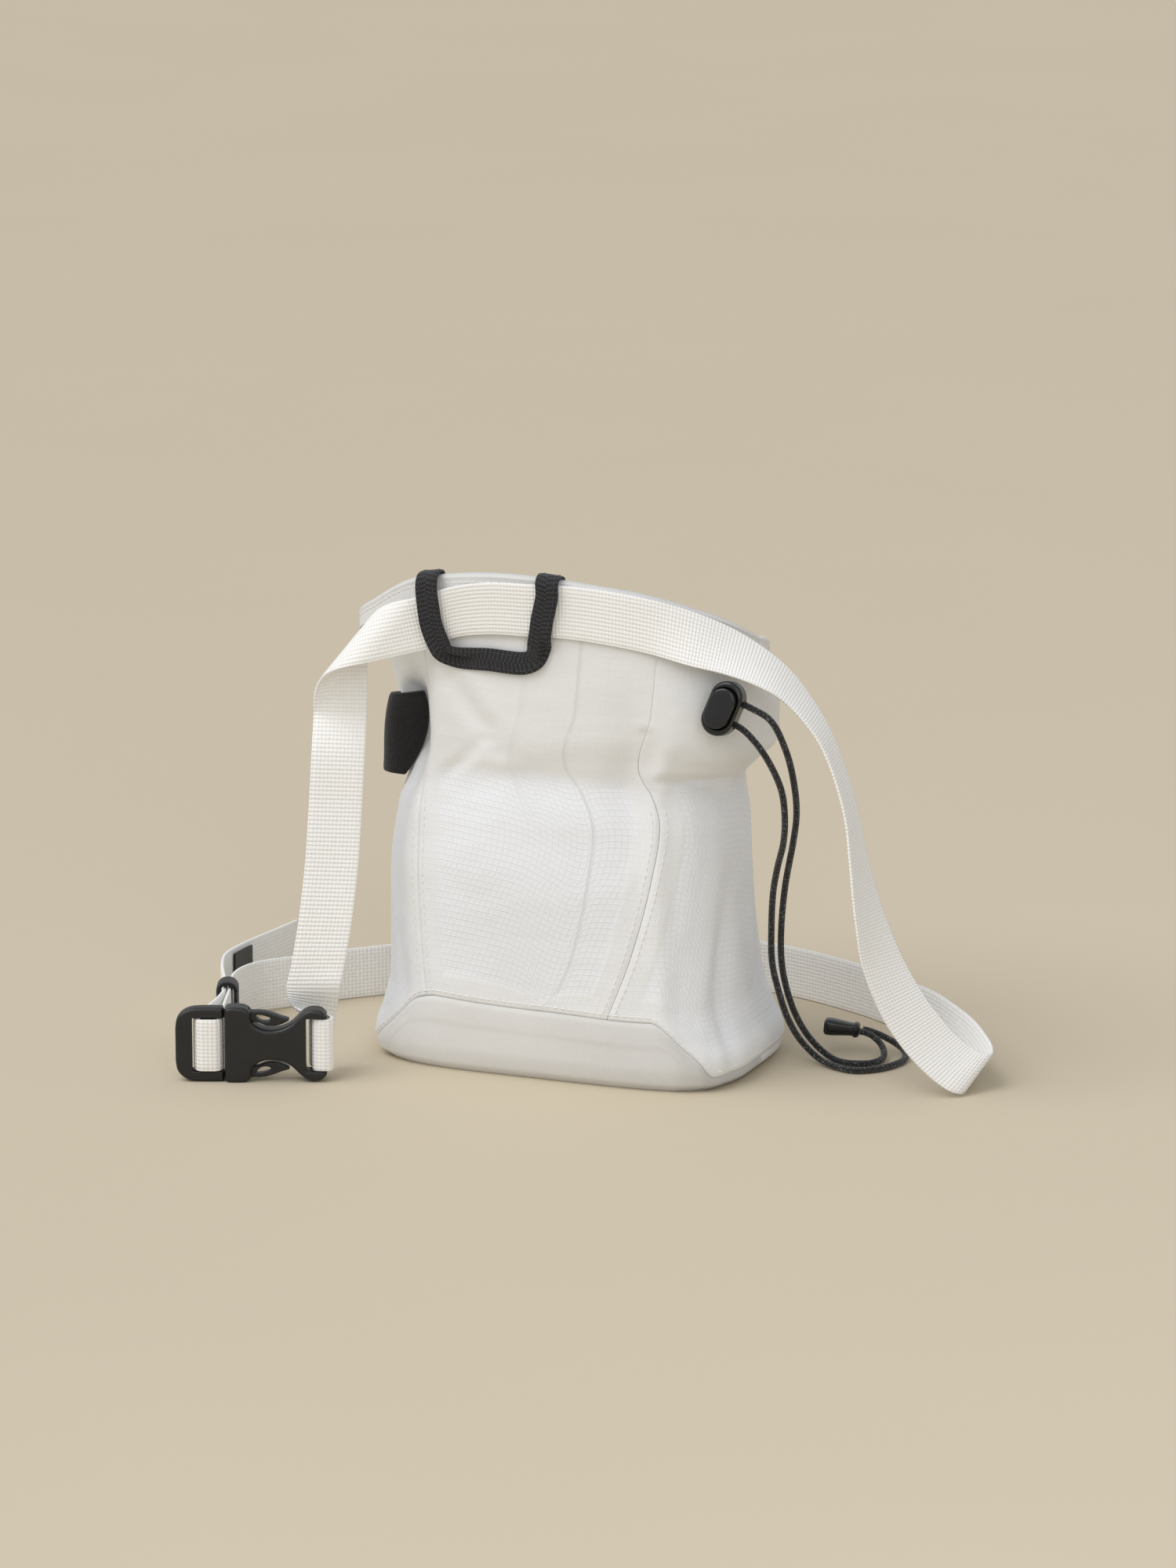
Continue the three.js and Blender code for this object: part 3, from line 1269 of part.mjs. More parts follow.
addPart('front_panel', frontPanel(), '#f1f1f3', 0.75);
addPart('wrap_panel', wrapPanel(), '#ededf0', 0.75);
addPart('base_panel', basePanel(), '#efece3', 0.85);
addPart('rim_band', rimBand(), '#f1eee6', 0.85);
addPart('belt_loop', beltLoop(), '#1b1b1d', 0.8);
addPart('brush_sleeve', brushSleeve(), '#131316', 0.9);
addPart('belt', band(belt, BELT_THICKNESS), '#f3f1ec', 0.7);
addPart('belt_label', beltLabel(), '#1a1a1c', 0.6);
addPart('belt_keeper', keeper(), '#17171a', 0.9);
addPart('buckle_socket', buckleSocket(), '#1c1c1e', 0.4);
addPart('buckle_plug', bucklePlug(), '#1c1c1e', 0.4);
addPart('cord_lock_body', lockBody(), '#161618', 0.35);
addPart('cord_lock_button', lockButton(), '#18181a', 0.35);
addPart('drawcord_upper', drawcord(1, UPPER_STRAND), '#202124', 0.85);
addPart('drawcord_lower', drawcord(-1, LOWER_STRAND), '#202124', 0.85);
addPart('cord_end', cordEnd(), '#1a1a1c', 0.5);

export default part;
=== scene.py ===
"""A climbing chalk bag with its waist belt fastened, standing on a pale floor.

Lengths in the tables are shares of named sizes, as in the part's source. Points are worked out in
millimetres and written to the meshes in metres.
"""

import math
from functools import lru_cache
from types import SimpleNamespace

import bmesh
import bpy
import numpy as np
from bpy.props import FloatProperty, FloatVectorProperty, PointerProperty
from mathutils import Matrix, Vector, noise
from mathutils.bvhtree import BVHTree


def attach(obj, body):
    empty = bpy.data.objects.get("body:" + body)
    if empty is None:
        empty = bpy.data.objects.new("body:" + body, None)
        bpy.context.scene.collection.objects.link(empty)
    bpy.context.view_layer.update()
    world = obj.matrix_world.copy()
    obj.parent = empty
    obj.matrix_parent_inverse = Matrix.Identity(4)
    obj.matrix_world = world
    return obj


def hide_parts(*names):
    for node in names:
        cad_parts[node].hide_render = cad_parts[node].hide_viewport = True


bl_info = {
    "name": "Climbing Chalk Bag",
    "version": (1, 0, 0),
    "blender": (4, 5, 0),
    "location": "View3D > Sidebar > Chalk Bag",
    "description": "Cloth, webbing, buckle and drawcord of a climbing chalk bag on its packed frame",
    "category": "Add Mesh",
}

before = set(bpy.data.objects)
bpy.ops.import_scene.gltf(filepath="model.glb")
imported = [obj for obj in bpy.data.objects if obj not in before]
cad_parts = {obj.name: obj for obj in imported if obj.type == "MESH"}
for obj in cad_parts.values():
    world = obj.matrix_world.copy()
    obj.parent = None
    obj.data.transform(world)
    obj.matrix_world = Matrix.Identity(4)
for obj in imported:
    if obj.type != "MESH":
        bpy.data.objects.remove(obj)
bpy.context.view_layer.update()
MM = 0.001


def length(name, description, mm):
    return FloatProperty(
        name=name, description=description, default=mm * MM, min=0.0, unit="LENGTH", precision=4
    )


def colour(name, description, rgb):
    return FloatVectorProperty(
        name=name, description=description, default=rgb, size=3, min=0.0, max=1.0, subtype="COLOR"
    )


class ChalkBagSizes(bpy.types.PropertyGroup):
    """Sizes of the bag's body, in metres"""

    width: length("Width", "Widest width of the bag's body", 150)
    depth: length("Depth", "Depth of the bag's body", 92)
    neck: length("Neck height", "Height at which the drawcord gathers the cloth", 113)
    rim: length("Rim height", "Height of the rim at the front", 194.5)
    cloth: length("Cloth", "Thickness of the wall cloth", 1.2)
    base_cloth: length("Base cloth", "Thickness of the base cloth", 1.6)
    seam_gap: length("Seam gap", "Gap between two panels at their seam", 0.16)
    fold: length("Fold depth", "Depth that the lifts of the folds are shares of", 10)
    crumple: length("Crumple", "Height of the fine crumple all over the cloth", 0.26)
    seam_strip: length("Seam strip", "Width of the doubled cloth along a seam", 10)
    hoop_height: length("Rim band height", "Height of the sewn rim band", 8)
    hoop_thickness: length("Rim band thickness", "Thickness of the rim band at its hoop", 3)
    clearance: length("Clearance", "Gap between pieces that lie on each other", 0.35)


class ChalkBeltSizes(bpy.types.PropertyGroup):
    """Sizes of the waist belt and of the tapes, in metres"""

    width: length("Webbing width", "Width of the waist belt", 20)
    thickness: length("Webbing thickness", "Thickness of the waist belt", 1.4)
    tape_width: length("Tape width", "Width of the tape that holds the belt", 8.6)
    tape: length("Tape thickness", "Thickness of that tape", 1.2)
    tape_hem: length("Tape hem", "Length of the tape sewn inside the rim", 7)
    keeper_length: length("Keeper length", "Length of the elastic keeper", 10)
    keeper_wall: length("Keeper wall", "Thickness of the elastic keeper", 1.8)
    keeper_drop: length("Keeper drop", "How far the keeper hangs below the buckle's middle", 0.6)
    sleeve_rise: length("Sleeve rise", "How far the brush sleeve stands off the bag", 8)
    sleeve: length("Sleeve thickness", "Thickness of the brush sleeve", 1.8)
    label: length("Label thickness", "Thickness of the plain label", 0.8)
    stitch: length("Stitch length", "Length of one stitch", 2.3)
    stitch_gap: length("Stitch gap", "Gap between two stitches", 0.7)
    thread: length("Thread", "Diameter of the sewing thread", 0.4)


class ChalkHardwareSizes(bpy.types.PropertyGroup):
    """Sizes of the buckle, the cord lock and the drawcord, in metres"""

    buckle_length: length("Buckle length", "Length of the fastened buckle", 57)
    buckle_height: length("Buckle height", "Height of the buckle on its long edge", 28.8)
    buckle_thickness: length("Buckle thickness", "Thickness of the buckle's socket", 8.6)
    buckle_wall: length("Buckle wall", "Wall over the socket's channels", 1.1)
    frame_thickness: length("Plug thickness", "Thickness of the plug's frame", 6)
    bar_thickness: length("Bar thickness", "Thickness of the bars that carry the webbing", 2.8)
    moulding: length("Moulding step", "Grid step of the moulded pieces", 0.3)
    lock_length: length("Lock length", "Length of the cord lock", 21)
    lock_width: length("Lock width", "Width of the cord lock", 12.5)
    lock_thickness: length("Lock thickness", "Thickness of the cord lock with its button", 11)
    button_length: length("Button length", "Length of the lock's button", 15.5)
    button_width: length("Button width", "Width of the lock's button", 9.6)
    button_proud: length("Button height", "How far the button stands out", 3.2)
    lock_travel: length("Button travel", "How far the button can be pressed", 2.0)
    cord: length("Cord diameter", "Diameter of the drawcord", 2.5)
    cord_spacing: length("Cord spacing", "Distance between the lock's two bores", 8.4)
    cord_level: length("Bore level", "Height of the bores over the lock's back", 2.4)
    end_length: length("End piece length", "Length of the tapered end piece", 13.6)
    end_width: length("End piece width", "Width of the tapered end piece", 7)


class ChalkFinishes(bpy.types.PropertyGroup):
    """Colours of the finishes"""

    ripstop: colour("Ripstop", "Single layer of the wall cloth", (0.872, 0.89, 0.93))
    doubled: colour("Doubled cloth", "Wall cloth where it is doubled", (0.852, 0.858, 0.865))
    twill: colour("Twill", "Base and rim cloth", (0.815, 0.812, 0.805))
    webbing: colour("Webbing", "Waist belt", (0.955, 0.948, 0.93))
    tape: colour("Black tape", "Tape, keeper and sleeve", (0.0075, 0.0075, 0.009))
    plastic: colour("Black plastic", "Buckle and cord lock", (0.0085, 0.0085, 0.0095))
    thread: colour("Thread", "Light sewing thread", (0.90, 0.885, 0.84))
    floor: colour("Floor", "Floor of the studio", (0.580, 0.507, 0.386))


GROUPS = {
    "chalk_bag": ChalkBagSizes,
    "chalk_belt": ChalkBeltSizes,
    "chalk_hardware": ChalkHardwareSizes,
    "chalk_finish": ChalkFinishes,
}


@lru_cache(maxsize=None)
def millimetres(group):
    """The lengths of a group in millimetres. start() forgets them before each operator."""
    props = getattr(bpy.context.scene, group)
    return SimpleNamespace(**{key: getattr(props, key) / MM for key in GROUPS[group].__annotations__})


def bag_sizes():
    return millimetres("chalk_bag")


def belt_sizes():
    return millimetres("chalk_belt")


def hardware():
    return millimetres("chalk_hardware")


def finishes():
    return bpy.context.scene.chalk_finish


def table(names, *rows):
    return dict(zip(names.split(), np.array(rows, float).T))


# Sections of the bag. level 0 is the floor, 1 the neck, 2 the rim. left and right are shares of
# the half width, front and back of the half depth, square is the superellipse exponent.
SECTIONS = table(
    "level left right front back square",
    (0.00, 0.930, 0.930, 0.890, 0.930, 4.4),
    (0.03, 0.985, 0.980, 0.950, 1.000, 4.4),
    (0.09, 1.000, 0.995, 0.980, 1.030, 4.3),
    (0.18, 0.965, 0.950, 0.985, 1.030, 4.0),
    (0.28, 0.935, 0.910, 0.975, 1.010, 3.7),
    (0.45, 0.945, 0.900, 0.970, 0.980, 3.3),
    (0.66, 0.955, 0.895, 0.975, 0.950, 3.0),
    (0.86, 0.925, 0.885, 0.950, 0.915, 2.8),
    (1.00, 0.870, 0.860, 0.915, 0.890, 2.6),
    (1.12, 0.880, 0.930, 0.945, 0.905, 2.4),
    (1.28, 0.925, 1.030, 0.985, 0.950, 2.3),
    (1.50, 0.955, 1.035, 1.000, 1.000, 2.3),
    (1.70, 1.000, 1.025, 1.005, 1.050, 2.3),
    (1.88, 1.120, 0.985, 1.020, 1.120, 2.2),
    (2.00, 1.200, 0.905, 1.030, 1.180, 2.1),
)

# Height of the rim round the bag as a share of the rim height, by turn in degrees from +X
RIM_LINE = table(
    "turn up",
    (0, 0.865),
    (45, 0.805),
    (90, 0.770),
    (135, 0.795),
    (180, 0.845),
    (215, 0.905),
    (245, 0.980),
    (270, 1.000),
    (300, 0.980),
    (330, 0.930),
    (360, 0.865),
)

# Main dents and bulges: lift is a share of the fold depth, lean is degrees of turn per level
FOLDS = table(
    "turn level wide tall lean lift",
    (214, 1.30, 13, 0.30, 10, -1.05),
    (233, 1.18, 8, 0.40, 6, 0.30),
    (262, 0.62, 24, 0.40, 0, 0.22),
    (296, 1.10, 7, 0.30, -8, -0.30),
    (306, 0.70, 6, 0.55, 4, 0.18),
    (322, 1.36, 18, 0.26, 0, 0.30),
    (345, 0.35, 9, 0.30, 14, -0.35),
    (20, 0.70, 16, 0.45, 8, -0.22),
    (75, 1.05, 11, 0.35, -9, -0.50),
    (118, 1.00, 10, 0.40, 7, -0.45),
    (96, 0.50, 26, 0.40, 0, 0.25),
    (165, 0.75, 14, 0.50, -6, -0.25),
)

# Creases between two places of the wall, with half width and height in millimetres
CREASES = table(
    "turn level to_turn to_level wide lift",
    (243, 1.50, 258, 1.16, 4.5, -1.1),
    (262, 1.05, 287, 1.08, 9.0, -0.9),
    (256, 0.92, 268, 0.60, 8.0, 0.5),
    (299, 1.30, 307, 1.02, 3.0, -1.0),
    (310, 1.07, 352, 1.06, 3.2, -1.7),
    (318, 1.19, 340, 1.17, 5.0, 0.8),
    (352, 0.70, 344, 0.22, 6.5, -0.9),
    (337, 0.34, 326, 0.08, 5.0, -0.45),
    (224, 0.42, 236, 0.10, 5.0, -0.5),
    (210, 1.48, 222, 1.12, 4.0, -1.2),
    (240, 1.00, 252, 1.20, 3.5, -0.6),
    (60, 1.25, 77, 0.85, 4.0, -1.2),
    (110, 1.20, 99, 0.78, 4.0, -1.1),
    (132, 0.62, 142, 0.25, 5.0, -0.8),
    (30, 1.05, 18, 0.72, 4.5, -0.9),
    (172, 1.10, 186, 1.00, 4.0, -1.0),
    (45, 0.40, 62, 0.12, 4.0, -0.6),
)

# Seams between the front panel and the panel round the sides and back, as shares of half width
SEAMS = table(
    "level left right",
    (0.24, -0.595, 0.387),
    (0.45, -0.635, 0.500),
    (0.70, -0.655, 0.590),
    (0.88, -0.650, 0.622),
    (1.12, -0.640, 0.520),
    (1.40, -0.620, 0.596),
    (2.00, -0.660, 0.640),
)

# Top edge of the base panel
BASE_EDGE = table(
    "turn level",
    (0, 0.055),
    (180, 0.055),
    (206, 0.060),
    (224, 0.120),
    (241, 0.240),
    (250, 0.255),
    (290, 0.235),
    (297, 0.235),
    (312, 0.130),
    (326, 0.050),
    (360, 0.055),
)


def follow(rows, by, key, at):
    """Interpolates one column of a table smoothly by another."""
    x, y = rows[by], rows[key]
    at = np.clip(np.asarray(at, float), x[0], x[-1])
    i = np.clip(np.searchsorted(x, at, side="left") - 1, 0, len(x) - 2)
    slope = np.diff(y) / np.diff(x)
    here = slope[i]
    before = np.where(i > 0, slope[np.maximum(i - 1, 0)], here)
    after = np.where(i + 2 < len(x), slope[np.minimum(i + 1, len(slope) - 1)], here)

    def joint(a, b):
        total = np.where(a + b == 0, 1.0, a + b)
        return np.where(a * b > 0, 2 * a * b / total, 0.0)

    span = x[i + 1] - x[i]
    t = (at - x[i]) / span
    ends = joint(before, here) * (1 - t) - joint(after, here) * t
    return y[i] + (y[i + 1] - y[i]) * t * t * (3 - 2 * t) + span * t * (1 - t) * ends


def rim_height(turn):
    return bag_sizes().rim * follow(RIM_LINE, "turn", "up", np.mod(turn, 360))


def level_height(turn, level):
    neck = bag_sizes().neck
    return np.where(level <= 1, neck * level, neck + (rim_height(turn) - neck) * (level - 1))


def round_by(turn, middle):
    return np.mod(turn - middle + 180, 360) - 180


def fold_lift(turn, level):
    lift = 0.0
    for at, middle_level, wide, tall, lean, height in zip(*FOLDS.values()):
        gap = round_by(turn, at + lean * (level - middle_level)) / wide
        rise = (level - middle_level) / tall
        lift = lift + height * np.exp(-(gap**2) - rise**2)
    return lift * bag_sizes().fold


def crumple_lift(turn, level):
    """Sharper creases and the fine crumple of the cloth."""
    bag = bag_sizes()
    turn, level = np.broadcast_arrays(np.asarray(turn, float), np.asarray(level, float))
    per_degree = (bag.width + bag.depth) * math.pi / 720
    lift = np.zeros(turn.shape)
    for start, low, end, high, wide, height in zip(*CREASES.values()):
        x = round_by(turn, start) * per_degree
        y = (level - low) * bag.neck
        dx, dy = (end - start) * per_degree, (high - low) * bag.neck
        share = np.clip((x * dx + y * dy) / (dx * dx + dy * dy), 0, 1)
        gap = np.hypot(x - share * dx, y - share * dy) / wide
        fade = 0.35 + 0.65 * np.sin(np.pi * np.clip(share, 0.08, 0.92))
        lift += height * fade * (np.exp(-(gap**2)) - 0.3 * np.exp(-((gap - 1.7) ** 2)))
    angle = np.radians(turn.ravel())
    radius = (bag.width + bag.depth) / 4
    places = np.stack([radius * np.cos(angle), radius * np.sin(angle), level.ravel() * bag.neck], -1)
    crumple = np.array([layered_noise(Vector(p)) for p in places]).reshape(turn.shape)
    return lift + crumple * np.clip((level - 0.04) / 0.2, 0, 1) * bag.crumple


def layered_noise(p):
    return noise.noise(p / 17) + 0.45 * noise.noise(p / 7.5) + 0.16 * noise.noise(p / 3)


def section(level):
    bag = bag_sizes()
    right = bag.width / 2 * follow(SECTIONS, "level", "right", level)
    left = bag.width / 2 * follow(SECTIONS, "level", "left", level)
    back = bag.depth / 2 * follow(SECTIONS, "level", "back", level)
    front = bag.depth / 2 * follow(SECTIONS, "level", "front", level)
    square = follow(SECTIONS, "level", "square", level)
    return (left + right) / 2, (right - left) / 2, back, front, square


def shell(turn, level, outward=0.0):
    """Points of the bag's outer cloth, moved outward by a distance."""
    half, middle, back, front, square = section(level)
    cos, sin = np.cos(np.radians(turn)), np.sin(np.radians(turn))
    reach = np.where(sin < 0, front, back)
    x = half * np.sign(cos) * np.abs(cos) ** (2 / square)
    y = reach * np.sign(sin) * np.abs(sin) ** (2 / square)
    nx = np.sign(cos) * np.abs(x / half) ** (square - 1) / half
    ny = np.sign(sin) * np.abs(y / reach) ** (square - 1) / reach
    move = (outward + fold_lift(turn, level)) / np.hypot(nx, ny)
    z = level_height(turn, level)
    return np.stack(np.broadcast_arrays(middle + x + move * nx, y + move * ny, z), -1)


def front_turn(x, level):
    half, middle, _, _, square = section(level)
    share = np.clip((x - middle) / half, -0.999, 0.999)
    cos = np.sign(share) * np.abs(share) ** (square / 2)
    return 360 - np.degrees(np.arccos(cos))


def front_at(x, z, outward=0.0):
    """Turn and y of the front cloth at given x and heights."""
    x, z = np.broadcast_arrays(np.asarray(x, float), np.asarray(z, float))
    neck = bag_sizes().neck
    level = z / neck
    turn = front_turn(x, level)
    for _ in range(12):
        above = 1 + (z - neck) / (rim_height(turn) - neck)
        level = np.minimum(np.where(z > neck, above, level), 2)
        turn = front_turn(x, level)
        miss = x - shell(turn, level, outward)[..., 0]
        turn = front_turn(x + miss, level)
    return turn, shell(turn, level, outward)[..., 1]


def seam_turn(side, level, shift=0.0):
    level = np.maximum(level, SEAMS["level"][0])
    x = bag_sizes().width / 2 * follow(SEAMS, "level", side, level) + shift
    return front_turn(x, level)


def base_edge(turn):
    return follow(BASE_EDGE, "turn", "level", np.mod(turn, 360))


def half_gap():
    """Half the seam gap, as a level."""
    bag = bag_sizes()
    return bag.seam_gap / 2 / bag.neck


def eased(count, ends=0.35):
    """Shares from 0 to 1, closer together near both ends."""
    t = np.linspace(0, 1, count)
    return (1 - ends) * t + ends * (1 - np.cos(np.pi * t)) / 2


def ramp(value, start, end):
    """Rises smoothly from 0 at start to 1 at end."""
    t = np.clip((value - start) / (end - start), 0, 1)
    return t * t * (3 - 2 * t)


def steps_along(grid, axis):
    """Distances along one direction of a grid of points, from its first line."""
    gaps = np.linalg.norm(np.diff(grid, axis=axis), axis=-1)
    first = np.zeros((len(grid), 1)) if axis == 1 else np.zeros((1, grid.shape[1]))
    return np.concatenate([first, np.cumsum(gaps, axis)], axis)


def grid_uv(grid, closed=False, ribbon=False):
    """Distances across and along a grid, in millimetres, measured across from its middle.

    On a ribbon the distance along is that of its middle line, so its ribs lie straight across.
    """
    wide = np.concatenate([grid, grid[:, :1]], 1) if closed else grid
    across, along = steps_along(wide, 1), steps_along(wide, 0)
    column = across.shape[1] // 2
    if ribbon:
        along = np.broadcast_to(along[:, column, None], along.shape)
    return np.stack([across - across[:, column, None], along], -1)


def make_object(name, mesh):
    obj = bpy.data.objects.new(name, mesh)
    bpy.context.scene.collection.objects.link(obj)
    return obj


def mesh_from(name, points, faces, uvs, attributes=None):
    """A smooth mesh from points in millimetres, quads and their corners' UVs."""
    mesh = bpy.data.meshes.new(name)
    mesh.from_pydata((points * MM).tolist(), [], faces.tolist())
    layer = mesh.uv_layers.new(name="Weave")
    layer.data.foreach_set("uv", uvs.astype(np.float32).ravel())
    for key, values in (attributes or {}).items():
        data = mesh.attributes.new(key, "FLOAT", "POINT").data
        data.foreach_set("value", values.astype(np.float32).ravel())
    mesh.shade_smooth()
    return mesh


def cloth(name, outer, inner, flat, closed=False, pole=False, ribbon=False, attributes=None):
    """A closed body between an outer and an inner grid of points. pole closes its first row.

    The weave is laid out by the distances on the grid called flat.
    """
    rows, cols = outer.shape[:2]
    uv = grid_uv(flat, closed, ribbon)
    faces, corners = [], []

    def quads(*places):
        faces.append(np.stack([side * rows * cols + i * cols + j % cols for side, i, j in places], -1))
        corners.append(np.stack([uv[i, j] for _, i, j in places], -2))

    last = cols if closed else cols - 1
    i, j = (a.ravel() for a in np.mgrid[0 : rows - 1, 0:last])
    quads((0, i, j), (0, i, j + 1), (0, i + 1, j + 1), (0, i + 1, j))
    quads((1, i, j), (1, i + 1, j), (1, i + 1, j + 1), (1, i, j + 1))
    j = np.arange(last)
    i = np.zeros_like(j)
    if not pole:
        quads((1, i, j), (1, i, j + 1), (0, i, j + 1), (0, i, j))
    i = i + rows - 1
    quads((0, i, j), (0, i, j + 1), (1, i, j + 1), (1, i, j))
    if not closed:
        i = np.arange(rows - 1)
        j = np.zeros_like(i)
        quads((1, i, j), (0, i, j), (0, i + 1, j), (1, i + 1, j))
        j = j + cols - 1
        quads((0, i, j), (1, i, j), (1, i + 1, j), (0, i + 1, j))
    points = np.concatenate([outer.reshape(-1, 3), inner.reshape(-1, 3)])
    values = {key: np.tile(value.ravel(), 2) for key, value in (attributes or {}).items()}
    values["inside"] = np.repeat([0.0, 1.0], rows * cols)
    mesh = mesh_from(name, points, np.concatenate(faces), np.concatenate(corners), values)
    if pole:
        clean(mesh)
    return make_object(name, mesh)


def clean(mesh, outward=False):
    """Merges doubles, and turns all faces outward where asked."""
    work = bmesh.new()
    work.from_mesh(mesh)
    bmesh.ops.remove_doubles(work, verts=work.verts, dist=1e-7)
    if outward:
        bmesh.ops.recalc_face_normals(work, faces=work.faces)
    work.to_mesh(mesh)
    work.free()
    mesh.shade_smooth()


def swept(name, rings, closed, attributes=None):
    """A tube through rings of points, each ring closed. Open ends get a cap."""
    count, sides = rings.shape[:2]
    uv_rings = np.concatenate([rings, rings[:1]]) if closed else rings
    uv = grid_uv(uv_rings, True)
    last = count if closed else count - 1
    i, j = (a.ravel() for a in np.mgrid[0:last, 0:sides])
    places = [(i, j), (i, j + 1), (i + 1, j + 1), (i + 1, j)]
    faces = np.stack([(a % count) * sides + b % sides for a, b in places], -1)
    corners = np.stack([uv[a, b] for a, b in places], -2)
    mesh = mesh_from(name, rings.reshape(-1, 3), faces, corners, attributes)
    work = bmesh.new()
    work.from_mesh(mesh)
    if not closed:
        bmesh.ops.holes_fill(work, edges=work.edges, sides=sides)
    bmesh.ops.recalc_face_normals(work, faces=work.faces)
    work.to_mesh(mesh)
    work.free()
    mesh.shade_smooth()
    return make_object(name, mesh)


def finish_piece(obj, material, nodes, body="bag"):
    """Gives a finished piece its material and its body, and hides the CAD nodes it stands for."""
    obj.data.materials.clear()
    obj.data.materials.append(material)
    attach(obj, body)
    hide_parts(*nodes)
    return obj


def smooth_lines(lines, step):
    """Centripetal curves through matching points of the lines, sampled at about one step."""
    lines = np.asarray(lines, float)
    ends = [2 * lines[0] - lines[1]], [2 * lines[-1] - lines[-2]]
    padded = np.concatenate([ends[0], lines, ends[1]])
    result = []
    middles = (lines[:, 0] + lines[:, -1]) / 2
    for i in range(len(lines) - 1):
        p0, p1, p2, p3 = padded[i : i + 4]
        spans = ((p0, p1), (p1, p2), (p2, p3))
        gaps = [np.linalg.norm(b - a, axis=-1, keepdims=True) ** 0.5 for a, b in spans]
        d1 = np.where(gaps[1] < 1e-4, 1.0, gaps[1])
        d0 = np.where(gaps[0] < 1e-4, d1, gaps[0])
        d2 = np.where(gaps[2] < 1e-4, d1, gaps[2])
        start = d1 * ((p1 - p0) / d0 - (p2 - p0) / (d0 + d1) + (p2 - p1) / d1)
        end = d1 * ((p2 - p1) / d1 - (p3 - p1) / (d1 + d2) + (p3 - p2) / d2)
        count = max(1, round(np.linalg.norm(middles[i + 1] - middles[i]) / step))
        for t in np.arange(count) / count:
            square, cube = t * t, t * t * t
            result.append(
                (2 * cube - 3 * square + 1) * p1
                + (cube - 2 * square + t) * start
                + (3 * square - 2 * cube) * p2
                + (cube - square) * end
            )
    result.append(lines[-1])
    return np.array(result)


def smooth_path(points, step):
    return smooth_lines([[p, p] for p in points], step)[:, 0]


def unit(vectors):
    return vectors / np.linalg.norm(vectors, axis=-1, keepdims=True)


def grid_normals(lines):
    along = np.gradient(lines, axis=0)
    across = np.gradient(lines, axis=1)
    return unit(np.cross(along, across))


def strip(name, lines, thickness, offset=0.0, edge=0.3, ripple=None):
    """A woven strip round the middle surface of a grid, thinner along its two edges."""
    normals = grid_normals(lines)
    width = steps_along(lines, 1)
    to_edge = np.minimum(width, width[:, -1:] - width)
    half = thickness / 2 * (1 - edge * (1 - ramp(to_edge, 0, thickness)))
    if ripple is not None:
        offset = offset + ripple
    outer = lines + normals * (offset - half)[..., None]
    inner = lines + normals * (offset + half)[..., None]
    return cloth(name, outer, inner, lines, ribbon=True)


def direction(heading, rise):
    heading, rise = math.radians(heading), math.radians(rise)
    flat = math.cos(rise)
    return np.array([flat * math.cos(heading), flat * math.sin(heading), math.sin(rise)])


ACROSS = np.array([0, 0.012, 0.04, 0.09, 0.17, 0.28, 0.4, 0.5, 0.6, 0.72, 0.83, 0.91, 0.96, 0.988, 1])


def cross_line(middle, across, width):
    return middle + np.outer(ACROSS - 0.5, across) * width


# The buckle's frame: x along the buckle to the right, y away from the viewer, z up from its middle
BUCKLE_HEADING = 22
BUCKLE_PLACE = (-99.6, -83.4)


def buckle_matrix():
    place = Vector((*BUCKLE_PLACE, hardware().buckle_height / 2))
    return Matrix.Translation(place) @ Matrix.Rotation(math.radians(BUCKLE_HEADING), 4, "Z")


def at_buckle(x, y, z):
    return np.array(buckle_matrix() @ Vector((x, y, z)))


def buckle_direction(vector):
    turned = buckle_matrix().to_3x3() @ Vector(vector)
    return unit(np.array(turned))


# The sewn loop round the socket's bar: x and y from the bar's middle, in webbing thicknesses
SOCKET_LOOP = (
    (-3.3, 3.9),
    (-2.6, 2.2),
    (-2.25, 0.0),
    (-2.0, -1.55),
    (-0.3, -2.15),
    (1.9, -1.9),
    (2.6, -0.6),
    (2.5, 1.2),
    (1.4, 3.0),
    (0.0, 4.8),
)

# The quarter turn behind the buckle: x, y, z from the socket's bar as shares of the webbing
# width, and the direction across
FOOT = (
    ((-0.10, 0.64, 0.10), (0.35, 0.50, -0.78)),
    ((-0.19, 0.62, 0.42), (0.80, 0.42, -0.42)),
)

# Stations of the belt: x, y, z as shares of half width, half depth and rim height, then the
# heading and rise of the direction across in degrees
LEFT_DROP = (
    (-1.085, -1.452, 0.172, 22, 0),
    (-1.068, -1.425, 0.215, 23, 0),
    (-1.046, -1.355, 0.296, 25, -2),
    (-1.035, -1.245, 0.411, 27, -3),
    (-1.038, -1.152, 0.517, 28, -3),
    (-1.044, -1.063, 0.622, 27, -3),
)

# The soft fold over the shoulder, where the drop becomes the run across the front
SHOULDER = SimpleNamespace(place=(-0.979, -1.254, 0.852), slope=13, angle=38, radius=8, reach=31)

# The run across the front: x as a share of half width, height as a share of the rim height
FRONT_RUN = (
    (-0.440, 0.914),
    (-0.230, 0.931),
    (0.000, 0.934),
    (0.170, 0.935),
    (0.330, 0.930),
)

